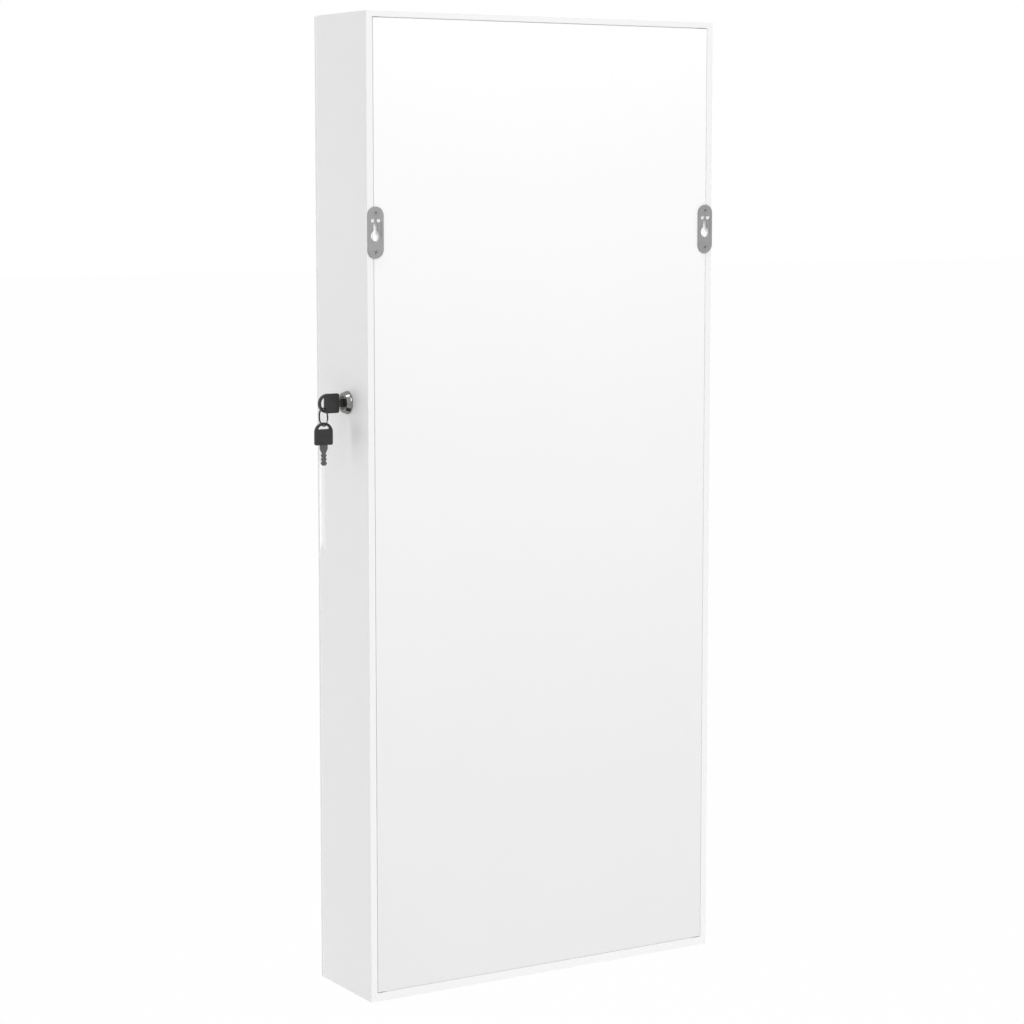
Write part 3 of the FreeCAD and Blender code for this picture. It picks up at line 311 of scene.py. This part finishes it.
def velvet(name, colour, pale):
    """Short pile: crushed paler and darker patches, a fine fibre bump and a soft sheen."""
    m = Nodes(name)
    m.colour(m.noise(22.0, 5.0, 0.6, (1, 1, 0.5), 0.6), [(0.32, colour), (0.72, pale)])
    m.set(Roughness=0.95, Sheen_Weight=0.55, Sheen_Roughness=0.35, Specular_IOR_Level=0.1)
    m.set(Sheen_Tint=(0.75, 0.74, 0.78, 1))
    first = m.bump(m.noise(2600.0, 3.0, 0.7), 0.5, 0.00008)
    m.bump(m.noise(140.0, 4.0), 0.25, 0.0002, under=first)
    return m.material


def clear(name, colour):
    """Clear acrylic sheet, hardly wavy."""
    m = Nodes(name)
    m.set(Transmission_Weight=1.0, IOR=1.49, Base_Color=(*colour, 1))
    m.roughness(m.noise(40.0, 3.0), 0.03, 0.066)
    m.bump(m.noise(25.0, 2.0), 0.04, 0.0002)
    return m.material


def wood(name, pale, dark):
    m = Nodes(name)
    fibre = m.noise(260.0, 6.0, 0.65, (1, 1, 0.05), 0.4)
    m.colour(fibre, [(0.3, dark), (0.62, pale)])
    m.set(Roughness=0.7)
    m.bump(fibre, 0.3, 0.0001)
    return m.material


def lip_lacquer_painted_shade():
    """The back edges of the boards, with painted shade: whiter at the foot, greyer at the top, against the
    back lamp's stronger light at the top.
    """
    foot, top = -0.7015, 0.1985
    m = Nodes("lip_lacquer_painted_shade")
    split = m.add("ShaderNodeSeparateXYZ")
    m.link(m.coords, "Object", split, "Vector")
    level = m.range(split, 0.0, 1.0, out="Z", from_low=foot, from_high=top)
    # Painted shade: the colour gets darker towards the top, set by height.
    m.colour(level, [(0.0, 0.99), (1.0, 0.81)], out="Result")
    m.roughness(m.noise(GLOSS_SCALE, 2.0), *GLOSS)
    m.set(Specular_IOR_Level=0.4, IOR=1.47)
    m.bump(m.noise(PEEL_SCALE, 2.0), PEEL_STRENGTH, 0.00004)
    return m.material


def silver():
    """The silvered face of the mirror, a very little wavy."""
    m = Nodes("mirror_silver")
    m.set(Base_Color=(0.90, 0.915, 0.91, 1), Metallic=1.0)
    m.roughness(m.noise(3.0, 3.0), 0.012, 0.022)
    m.bump(m.noise(1.6, 1.0), 0.02, 0.0004)
    return m.material


def ground_glass():
    """The ground and polished edge of the mirror: pale, a little green, and satin."""
    m = Nodes("mirror_edge")
    fine = m.noise(420.0, 4.0, 0.6, (1, 1, 0.15))
    m.colour(fine, [(0.3, (0.80, 0.815, 0.805)), (0.7, (0.885, 0.892, 0.886))])
    m.roughness(fine, 0.30, 0.44)
    m.bump(fine, 0.15, 0.00003)
    return m.material


def back_paint_with_painted_glow():
    """White paint on the mirror's back; its faint glow stands in for light between close white surfaces."""
    m = Nodes("painted_glow_mirror_back")
    m.colour(m.noise(90.0, 4.0), [(0.3, (0.84, 0.845, 0.84)), (0.7, (0.88, 0.885, 0.88))])
    m.roughness(m.noise(200.0), 0.5, 0.65)
    m.set(Emission_Color=WHITE, Emission_Strength=0.34)
    return m.material


white = lacquer("white_lacquer", (0.885, 0.886, 0.884))
white_back = lacquer("white_faced_board", (0.895, 0.896, 0.894), peel=0.00003, mottle=0.008)
# Painted light: a whiter copy of the board lacquer, without specular reflection, which brightens the finger
# grip's scoop.
grip_lacquer_painted_light = lacquer("grip_scoop_painted_light", (0.93, 0.93, 0.928), specular=0.0)
# Painted light: a whiter lacquer that glows, for the rebate walls round the back board and the floors of the
# hanger pockets.
gap_glow_painted_light = lacquer("gap_glow_painted_light", (0.93, 0.93, 0.928), glow=0.16)
zinc = metal("grey_zinc", (0.335, 0.335, 0.34), 0.42, 0.62, metallic=0.55)
# Painted highlight: near white and not metallic, for the pressed marks beside the hanger slots.
mark_painted_highlight = metal("hanger_mark_painted_highlight", (0.88, 0.88, 0.88), 0.50, 0.66, metallic=0.0)
steel = metal("bright_steel", (0.62, 0.62, 0.63), 0.22, 0.36, grain=(1, 1, 12))
POLISH = {"grain": (1, 8, 8), "scale": 500.0, "strength": 0.06}
chrome = metal("polished_chrome", (0.80, 0.80, 0.81), 0.06, 0.13, **POLISH)
# Painted shade in reflection: the lock housing's chrome is darkened, so that it reflects the white room as
# mid grey.
chrome_with_painted_dark_reflection = metal("chrome_dark_painted_reflection", (0.27, 0.265, 0.26), 0.10, 0.17, **POLISH)
# Painted shade in reflection: the plug's metal is darkened to stand in for the dark reflections on its face.
plug_with_painted_dark_reflection = metal("plug_dark_painted_reflection", (0.085, 0.083, 0.080), 0.16, 0.26)
nickel = metal("dull_nickel_plate", (0.150, 0.149, 0.147), 0.24, 0.40, grain=(6, 1, 6), scale=500.0)
ring_wire = metal("dark_spring_wire", (0.060, 0.060, 0.062), 0.26, 0.40, grain=(12, 1, 1))
black = moulded("black_moulded_plastic", (0.0145, 0.0145, 0.0155))
white_plastic = moulded("white_moulded_plastic", (0.74, 0.74, 0.72), 0.4, 0.5)
bumper_rubber = moulded("pale_rubber", (0.70, 0.70, 0.68), 0.5, 0.65)
acrylic = clear("clear_acrylic", (0.985, 0.99, 0.99))
pile = velvet("charcoal_velvet", (0.020, 0.019, 0.022), (0.052, 0.050, 0.056))
beech = wood("beech", (0.62, 0.43, 0.26), (0.42, 0.26, 0.14))
ferrite = metal("ferrite_magnet", (0.055, 0.055, 0.06), 0.45, 0.7, metallic=0.3)
foam = lacquer("foam_tape", (0.72, 0.72, 0.70), peel=0.0002, mottle=0.06)
lips_with_painted_shade = lip_lacquer_painted_shade()

NODE_MATERIALS = {
    "side_panel_left": white, "side_panel_right": white, "top_panel": white, "bottom_panel": white,
    "door_panel": white, "shelf_lower": white, "shelf_middle": white, "shelf_upper": white,
    "necklace_rail": white, "door_hook_rail": white, "ring_tray": white,
    "earring_rack_side_left": white, "earring_rack_side_right": white,
    "back_panel": white_back, "corner_dowels": beech, "mirror_tape": foam,
    "hanger_plate_left": zinc, "hanger_plate_right": zinc, "hanger_screws": zinc,
    "cabinet_hinge_leaves": steel, "door_hinge_leaves": steel, "hinge_pins": steel,
    "cabinet_hinge_screws": steel, "door_hinge_screws": steel,
    "lock_housing": chrome_with_painted_dark_reflection, "lock_plug": plug_with_painted_dark_reflection, "lock_nut": steel, "lock_cam": steel,
    "cam_screw": steel, "lock_keeper": steel, "keeper_screws": steel,
    "strike_plate": steel, "strike_screws": steel, "catch_housing": white_plastic, "catch_magnet": ferrite,
    "key_head": black, "spare_key_head": black, "key_blade": nickel, "spare_key_blade": nickel,
    "key_ring": ring_wire, "bracelet_rod": chrome, "rod_sockets": chrome,
    "necklace_hooks": chrome, "door_hooks": chrome, "door_bumpers": bumper_rubber,
    "shelf_rails": acrylic, "earring_strips": acrylic, "door_tray": acrylic,
    "back_lining": pile, "door_lining": pile, "ring_cushion": pile, "mirror_glass": white,
}

for name, obj in nodes.items():
    obj.data.materials.clear()
    obj.data.materials.append(NODE_MATERIALS[name])


# ---------------------------------------------------------------- faces with a finish of their own

SQUARE_ON = 0.9      # least cosine between a face's normal and the direction it is said to face
ON_FACE = 0.0001     # a face this close to the node's outer face lies on it


def paint_faces(node, material, chosen):
    """Gives one more material to the faces of a CAD node that are chosen by their place."""
    obj = nodes[node]
    obj.data.materials.append(material)
    index = len(obj.data.materials) - 1
    low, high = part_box(node)
    for face in obj.data.polygons:
        if chosen(face, low, high):
            face.material_index = index


def on_mark(face, low, high, depth=(0.0002, 0.00095), above=(0.0092, 0.0136), apart=0.0015):
    """The pressed marks beside the slot of a hanger plate, which lie below the plate's face."""
    middle = (Vector(low) + Vector(high)) / 2
    below = high[1] - face.center.y
    level = face.center.z - middle.z
    aside = abs(face.center.x - middle.x)
    return depth[0] < below < depth[1] and above[0] < level < above[1] and aside > apart


def in_grip(face, low, high, depth=0.0026, reach=0.0105, flat=0.999):
    """The scoop of the finger grip, whose faces slope in from the board's face."""
    inward = high[0] - face.center.x
    return ON_FACE < inward < depth and face.center.y - low[1] < reach and abs(face.normal.x) < flat


def on_lip(face, low, high):
    """The edge of a board that faces back, round the back board."""
    return high[1] - face.center.y < ON_FACE and face.normal.y > SQUARE_ON


def in_rebate(inward, depth=0.006, pocket_floor=(0.001, 0.0029)):
    """The wall of the rebate round the back board, facing inward, and the floor of the hanger pockets."""
    def chosen(face, low, high):
        below = high[1] - face.center.y
        wall = below < depth and face.normal.dot(Vector(inward)) > SQUARE_ON
        pocket = pocket_floor[0] < below < pocket_floor[1] and face.normal.y > SQUARE_ON
        return wall or pocket
    return chosen


# The pressed marks get a painted highlight, near white where their sloped walls would catch light.
for node in ("hanger_plate_left", "hanger_plate_right"):
    paint_faces(node, mark_painted_highlight, on_mark)
# The scoop of the finger grip gets painted light, a whiter lacquer than the board's.
paint_faces("side_panel_right", grip_lacquer_painted_light, in_grip)
# The back edges get the lacquer with painted shade, greyer towards the top.
for node in ("side_panel_left", "side_panel_right", "top_panel", "bottom_panel"):
    paint_faces(node, lips_with_painted_shade, on_lip)
# The rebate walls and hanger pocket floors get the glowing whiter lacquer: painted light in the gap and
# pockets.
for node, inward in (("side_panel_left", (1, 0, 0)), ("side_panel_right", (-1, 0, 0)),
                     ("top_panel", (0, 0, -1)), ("bottom_panel", (0, 0, 1)), ("back_panel", (0, 0, 0))):
    paint_faces(node, gap_glow_painted_light, in_rebate(inward))

# Bevel widths and the nodes that have them; back_panel and side_panel_right have none.
BOARDS = {
    0.0005: ["side_panel_left", "top_panel", "bottom_panel", "door_panel", "necklace_rail",
             "door_hook_rail", "ring_tray", "earring_rack_side_left", "earring_rack_side_right",
             "shelf_lower", "shelf_middle", "shelf_upper"],
    0.0003: ["shelf_rails", "earring_strips", "door_tray", "catch_housing"],
}
ROUNDED = {
    0.0002: ["lock_nut", "hanger_plate_left", "hanger_plate_right", "cabinet_hinge_leaves",
             "door_hinge_leaves", "hinge_pins", "lock_housing", "lock_plug", "lock_cam", "lock_keeper",
             "strike_plate", "cam_screw", "necklace_hooks", "door_hooks", "rod_sockets", "door_bumpers"],
    0.0006: ["key_head", "spare_key_head"],
    0.00015: ["key_blade", "spare_key_blade"],
}
for groups, flat in ((BOARDS, True), (ROUNDED, False)):
    for width, names in groups.items():
        for name in names:
            soften(nodes[name], width, flat)


# ---------------------------------------------------------------- mirror

def mirror_glass():
    """A sheet with a ground bevel round its front, silvered in front, satin on its edges, painted behind."""
    low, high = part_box("mirror_glass")
    bevel, arris, nick = 0.0006, 0.0003, 0.0001
    rows = [
        (low[1], bevel + 2 * nick), (low[1] + nick / 2, bevel), (low[1] + bevel - nick, nick),
        (low[1] + bevel, 0.0), (high[1] - arris, 0.0), (high[1], arris),
    ]
    silvered, ground, painted = range(3)
    verts, faces, kinds = [], [(0, 1, 2, 3)], [silvered]
    for y, inset in rows:
        x0, x1, z0, z1 = low[0] + inset, high[0] - inset, low[2] + inset, high[2] - inset
        verts += [(x0, y, z0), (x1, y, z0), (x1, y, z1), (x0, y, z1)]
    for row in range(len(rows) - 1):
        for k in range(4):
            a, b = row * 4 + k, row * 4 + (k + 1) % 4
            faces.append((a, a + 4, b + 4, b))
            kinds.append(ground)
    last = (len(rows) - 1) * 4
    faces.append((last + 3, last + 2, last + 1, last))
    kinds.append(painted)
    mesh = mesh_from("mirror_sheet", verts, faces)
    # The painted back also glows faintly: painted light standing in for light between close white surfaces.
    for material in (silver(), ground_glass(), back_paint_with_painted_glow()):
        mesh.materials.append(material)
    mesh.polygons.foreach_set("material_index", kinds)
    new_piece("mirror_sheet", mesh, "door", ["mirror_glass"], smooth=False)


mirror_glass()


# ---------------------------------------------------------------- screws

HANGER_SCREW = {"radius": 0.0029, "depth": 0.0014, "recess": 0.0011}
SMALL_SCREW = {"radius": 0.0021, "depth": 0.0009, "recess": 0.0008}


def recess_wing(name, radius, recess, turn):
    """A tapered bar that cuts one slot of a cross recess."""
    along, across, above = radius * 0.62, radius * 0.13, 0.0003
    taper_along, taper_across = 0.45, 0.6
    bm = bmesh.new()
    top = [(-along, -across, above), (along, -across, above), (along, across, above), (-along, across, above)]
    low = [(x * taper_along, y * taper_across, -recess) for x, y, z in top]
    ring = [bm.verts.new(v) for v in top] + [bm.verts.new(v) for v in low]
    bm.faces.new(ring[3::-1])
    bm.faces.new(ring[4:])
    for k in range(4):
        n = (k + 1) % 4
        bm.faces.new((ring[k], ring[n], ring[n + 4], ring[k + 4]))
    bmesh.ops.recalc_face_normals(bm, faces=bm.faces)
    bmesh.ops.rotate(bm, cent=(0, 0, 0), matrix=Matrix.Rotation(turn, 3, "Z"), verts=bm.verts)
    cutter = bpy.data.meshes.new(f"{name}_wing")
    bm.to_mesh(cutter)
    bm.free()
    return cutter


def screw_head(name, radius, depth, recess):
    """A countersunk head with a slightly domed rim and a cross recess, and its shank."""
    profile = [
        (0, 0), (radius * 0.80, 0), (radius * 0.95, -0.00004), (radius, -0.00018),
        (radius * 0.52, -depth), (radius * 0.50, -depth * 5), (radius * 0.12, -depth * 6.5),
        (0, -depth * 6.6),
    ]
    head = turned(name, profile, 40)
    return carved(name, head, [recess_wing(name, radius, recess, turn) for turn in (0, math.pi / 2)])


def facing(direction):
    return Vector((0, 0, 1)).rotation_difference(Vector(direction)).to_matrix().to_4x4()


def islands(node):
    """The boxes of the separate solids of a CAD node: (low, high) pairs."""
    bm = bmesh.new()
    bm.from_mesh(nodes[node].data)
    bmesh.ops.remove_doubles(bm, verts=bm.verts, dist=1e-6)
    seen, boxes = set(), []
    for start in bm.verts:
        if start in seen:
            continue
        stack, found = [start], []
        seen.add(start)
        while stack:
            v = stack.pop()
            found.append(v.co.copy())
            for edge in v.link_edges:
                other = edge.other_vert(v)
                if other not in seen:
                    seen.add(other)
                    stack.append(other)
        low = Vector(min(c[k] for c in found) for k in range(3))
        high = Vector(max(c[k] for c in found) for k in range(3))
        boxes.append((low, high))
    bm.free()
    return boxes


def place_screws(node, body, direction, sizes, material):
    """Screws with a real recess on the places of a CAD node's plain ones, each turned by its own angle."""
    rng = random.Random(node)
    head = screw_head(f"{node}_head", **sizes)
    copies = []
    for low, high in islands(node):
        at = (low + high) / 2
        at.y = high.y if direction[1] > 0 else low.y
        turn = Matrix.Rotation(rng.uniform(0, math.pi), 4, "Z")
        copies.append((head, Matrix.Translation(at) @ facing(direction) @ turn))
    mesh = join_meshes(f"{node}_detailed", copies)
    mesh.materials.append(material)
    new_piece(f"{node}_detailed", mesh, body, [node], smooth=False)


place_screws("hanger_screws", "cabinet", (0, 1, 0), HANGER_SCREW, zinc)
place_screws("keeper_screws", "door", (0, 1, 0), SMALL_SCREW, steel)
place_screws("strike_screws", "door", (0, 1, 0), SMALL_SCREW, steel)
place_screws("cabinet_hinge_screws", "cabinet", (0, -1, 0), SMALL_SCREW, steel)
place_screws("door_hinge_screws", "door", (0, -1, 0), SMALL_SCREW, steel)


# ---------------------------------------------------------------- key ring

def split_ring():
    """Two turns of flat spring wire, stepped sideways where they overlap."""
    low, high = (Vector(v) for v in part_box("key_ring"))
    centre = (low + high) / 2
    wire = (high.x - low.x) / 2
    radius = (high.z - low.z) / 2 - wire
    across, along = wire * 0.49, wire * 0.95
    steps, segments = 240, 12
    first_angle, sweep = -0.35, 4 * math.pi
    used = 0.985                        # share of the two turns that the wire fills
    step_from, step_length = 0.40, 0.16  # where along the wire it steps sideways
    tip_start, tip_growth = 0.35, 60    # the wire's ends are thinner
    squareness = 0.55                   # 1 gives an oval wire, 0 a square one
    points, radii = [], []
    for i in range(steps + 1):
        t = i / steps
        a = first_angle + sweep * t * used
        side = -1 + 2 * min(1.0, max(0.0, (t - step_from) / step_length))
        side = math.sin(side * math.pi / 2)
        points.append(centre + Vector((side * wire * 0.5, radius * math.cos(a), radius * math.sin(a))))
        tip = min(1.0, min(t, 1 - t) * tip_growth + tip_start)
        radii.append((across * tip, along * tip))
    verts, faces = [], []
    for p, (ra, rb) in zip(points, radii):
        out = Vector((0, p.y - centre.y, p.z - centre.z)).normalized()
        for k in range(segments):
            a = 2 * math.pi * k / segments
            c, s = math.cos(a), math.sin(a)
            box_c = math.copysign(abs(c) ** squareness, c)
            box_s = math.copysign(abs(s) ** squareness, s)
            verts.append(p + Vector((1, 0, 0)) * (ra * box_c) + out * (rb * box_s))
    for i in range(steps):
        for k in range(segments):
            m = (k + 1) % segments
            here, there = i * segments, (i + 1) * segments
            faces.append((here + k, there + k, there + m, here + m))
    faces.append(tuple(range(segments)))
    faces.append(tuple(steps * segments + k for k in range(segments - 1, -1, -1)))
    mesh = mesh_from("split_ring", verts, faces)
    mesh.materials.append(ring_wire)
    new_piece("split_ring", mesh, "ring", ["key_ring"])


split_ring()


# ---------------------------------------------------------------- velvet pieces

def smooth_step(t):
    t = min(1.0, max(0.0, t))
    return t * t * (3 - 2 * t)


def stations(low, high, edge, count):
    """Places from low to high: evenly spaced, with one more close to each end."""
    inner = [low + edge + (high - low - 2 * edge) * i / count for i in range(1, count)]
    return [low, low + edge * 0.3, low + edge] + inner + [high - edge, high - edge * 0.3, high]


def velvet_board(node, body, facing_sign):
    """Velvet over a thin card: rounded edges, and a face that waves by a few tenths of a millimetre."""
    low, high = (Vector(v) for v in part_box(node))
    edge, wave_height = 0.0012, 0.00012
    edge_share = 0.35                   # height of the outermost edge, as a share of the thickness
    thick = high.y - low.y
    back = low.y if facing_sign > 0 else high.y
    xs, zs = stations(low.x, high.x, edge, 60), stations(low.z, high.z, edge, 120)
    verts, faces = [], []
    for z in zs:
        for x in xs:
            near = min(x - low.x, high.x - x, z - low.z, high.z - z)
            round_off = math.sqrt(max(0.0, 1 - (1 - min(1.0, near / edge)) ** 2))
            wave = noise.noise(Vector((x * 14, z * 9, 3.1))) * wave_height - wave_height
            height = thick * (edge_share + (1 - edge_share) * round_off) + (wave if near > edge else 0)
            verts.append((x, back + facing_sign * height, z))
    w = len(xs)
    for j in range(len(zs) - 1):
        for i in range(w - 1):
            quad = (j * w + i, j * w + i + 1, (j + 1) * w + i + 1, (j + 1) * w + i)
            faces.append(quad if facing_sign < 0 else quad[::-1])
    mesh = backed(f"{node}_velvet", verts, faces, w, len(zs), back, facing_sign < 0)
    mesh.materials.append(pile)
    new_piece(f"{node}_velvet", mesh, body, [node])


velvet_board("back_lining", "cabinet", -1)
velvet_board("door_lining", "door", 1)


def roll_cushion():
    """Foam rolls under velvet, side by side in the tray, with a tight slit between each two."""
    low, high = (Vector(v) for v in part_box("ring_cushion"))
    rolls, across, per_roll = 6, 90, 16
    crest = low.y + 0.0002
    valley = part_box("ring_tray")[0][1] + 0.0016
    end_length, end_drop, end_draw = 0.014, 0.42, 0.06
    crumple_height = 0.0005
    pitch = (high.z - low.z) / rolls
    rows, w = rolls * per_roll, across + 1
    verts, faces = [], []
    for j in range(rows + 1):
        v = j / rows
        z = low.z + (high.z - low.z) * v
        k = min(rolls - 1, int(v * rolls))
        local = (v * rolls - k) * 2 - 1
        arch = math.sqrt(max(0.0, 1 - abs(local) ** 2.3))
        for i in range(w):
            x = low.x + (high.x - low.x) * i / across
            pull = 1 - smooth_step(min(x - low.x, high.x - x) / end_length)
            crumple = noise.noise(Vector((x * 60, z * 90, k * 2.7))) * crumple_height
            top = valley + (crest - valley) * arch * (1 - end_drop * pull)
            top += crumple * arch * (1 - pull)
            drawn = z + (low.z + pitch * (k + 0.5) - z) * end_draw * pull
            verts.append((x, max(top, low.y), drawn))
    for j in range(rows):
        for i in range(across):
            faces.append((j * w + i, j * w + i + 1, (j + 1) * w + i + 1, (j + 1) * w + i))
    mesh = backed("ring_roll_cushion", verts, faces, w, rows + 1, high.y, True)
    mesh.materials.append(pile)
    cushion = new_piece("ring_roll_cushion", mesh, "cabinet", ["ring_cushion"])


roll_cushion()


# ---------------------------------------------------------------- stage, light and camera

FLOOR_LEVEL, FLOOR_HALF = -1.15, 30
FLOOR_SEEN, FLOOR_MIRRORED = 0.98, 0.60  # share of its own brightness, to the camera and in reflections
WORLD_LIGHT, WORLD_SEEN = 0.535, 1.0

# Name: place, target, side, power in watts.
LIGHTS = {
    "back_light": ((-0.10, 1.85, 1.15), (0, 0, -0.1), 1.1, 27),
    "lock_light": ((0.56, 0.27, 1.68), (0.19, -0.04, -0.15), 0.5, 4.5),
    "side_light": ((2.5, -1.7, -0.75), (0.19, -0.05, -0.30), 2.0, 36),
    "front_light": ((-0.5, -2.4, 1.6), (0, -0.1, -0.2), 1.6, 6),
}
NOT_IN_REFLECTIONS = ["side_light"]

CAMERA_AT = (1.3339, 2.1302, 0.0491)
CAMERA_AZIMUTH = math.radians(31.323)  # from +y towards +x
CAMERA_TILT = math.radians(6.258)      # downwards
CAMERA_LENS, CAMERA_SENSOR = 95.113, 36.0
CAMERA_SHIFT = -0.034


def stage_floor():
    """A plain pale floor well below the cabinet, which hangs on a wall."""
    m = Nodes("pale_floor")
    m.colour(m.noise(2.0, 3.0), [(0.3, 0.90), (0.7, 0.93)])
    m.set(Roughness=0.9)
    glow = m.add("ShaderNodeEmission")
    glow.inputs["Color"].default_value = WHITE
    glow.inputs["Strength"].default_value = 1.0
    path = m.add("ShaderNodeLightPath")
    shares = []
    for ray, share in (("Is Glossy Ray", FLOOR_MIRRORED), ("Is Camera Ray", FLOOR_SEEN)):
        node = m.add("ShaderNodeMath", operation="MULTIPLY")
        m.link(path, ray, node, 0)
        node.inputs[1].default_value = share
        shares.append(node)
    amount = m.add("ShaderNodeMath", operation="MAXIMUM")
    for i, node in enumerate(shares):
        m.link(node, "Value", amount, i)
    mix = m.add("ShaderNodeMixShader")
    m.link(amount, "Value", mix, 0)
    m.link(m.shader, "BSDF", mix, 1)
    m.link(glow, "Emission", mix, 2)
    m.link(mix, "Shader", m.output, "Surface")
    mesh = sheet("floor", FLOOR_HALF, FLOOR_HALF, FLOOR_LEVEL)
    mesh.materials.append(m.material)
    floor = link_object("floor", mesh)


def world_light():
    """A white room: WORLD_LIGHT lights the scene, WORLD_SEEN shows directly, mirrored and through acrylic."""
    world = bpy.data.worlds.new("studio")
    bpy.context.scene.world = world
    world.use_nodes = True
    tree = world.node_tree
    tree.nodes.clear()
    out = tree.nodes.new("ShaderNodeOutputWorld")
    shades = []
    for strength in (WORLD_LIGHT, WORLD_SEEN):
        shade = tree.nodes.new("ShaderNodeBackground")
        shade.inputs["Color"].default_value = WHITE
        shade.inputs["Strength"].default_value = strength
        shades.append(shade.outputs[0])
    path = tree.nodes.new("ShaderNodeLightPath")
    share = path.outputs["Is Camera Ray"]
    for ray in ("Is Glossy Ray", "Is Transmission Ray"):
        either = tree.nodes.new("ShaderNodeMath")
        either.operation = "MAXIMUM"
        tree.links.new(share, either.inputs[0])
        tree.links.new(path.outputs[ray], either.inputs[1])
        share = either.outputs[0]
    mix = tree.nodes.new("ShaderNodeMixShader")
    for i, source in enumerate((share, *shades)):
        tree.links.new(source, mix.inputs[i])
    tree.links.new(mix.outputs[0], out.inputs["Surface"])


def area_light(name, at, target, side, power):
    data = bpy.data.lights.new(name, "AREA")
    data.shape = "RECTANGLE"
    data.size = data.size_y = side
    data.energy = power
    lamp = link_object(name, data)
    lamp.location = at
    lamp.rotation_euler = (Vector(target) - Vector(at)).to_track_quat("-Z", "Y").to_euler()
    lamp.visible_glossy = name not in NOT_IN_REFLECTIONS


def reflection_card(name, at, target, side, colour):
    """A card that shows in glossy reflections only, and gives the lock its dark band."""
    m = Nodes(name)
    m.colour(m.noise(4.0), [(0.3, tuple(c * 0.7 for c in colour)), (0.7, colour)])
    m.set(Roughness=1.0, Specular_IOR_Level=0.0)
    mesh = sheet(name, side / 2, side / 2)
    mesh.materials.append(m.material)
    card = link_object(name, mesh)
    card.location = at
    card.rotation_euler = (Vector(target) - Vector(at)).to_track_quat("Z", "Y").to_euler()
    card.visible_camera = False
    card.visible_diffuse = False
    card.visible_shadow = False
    card.visible_transmission = False


def camera():
    data = bpy.data.cameras.new("camera")
    data.sensor_width = CAMERA_SENSOR
    data.lens = CAMERA_LENS
    data.shift_y = CAMERA_SHIFT
    data.clip_end = 200
    level = math.cos(CAMERA_TILT)
    across = (-math.sin(CAMERA_AZIMUTH) * level, -math.cos(CAMERA_AZIMUTH) * level)
    ahead = Vector((*across, -math.sin(CAMERA_TILT)))
    cam = link_object("camera", data)
    cam.location = CAMERA_AT
    cam.rotation_euler = ahead.to_track_quat("-Z", "Y").to_euler()
    bpy.context.scene.camera = cam


stage_floor()
world_light()
for name, placing in LIGHTS.items():
    area_light(name, *placing)
reflection_card("low_card", (0.27, 0.17, -0.78), (0.27, 0.17, -0.15), 0.5, (0.12, 0.10, 0.08))
camera()
bpy.context.scene.view_settings.view_transform = "Standard"
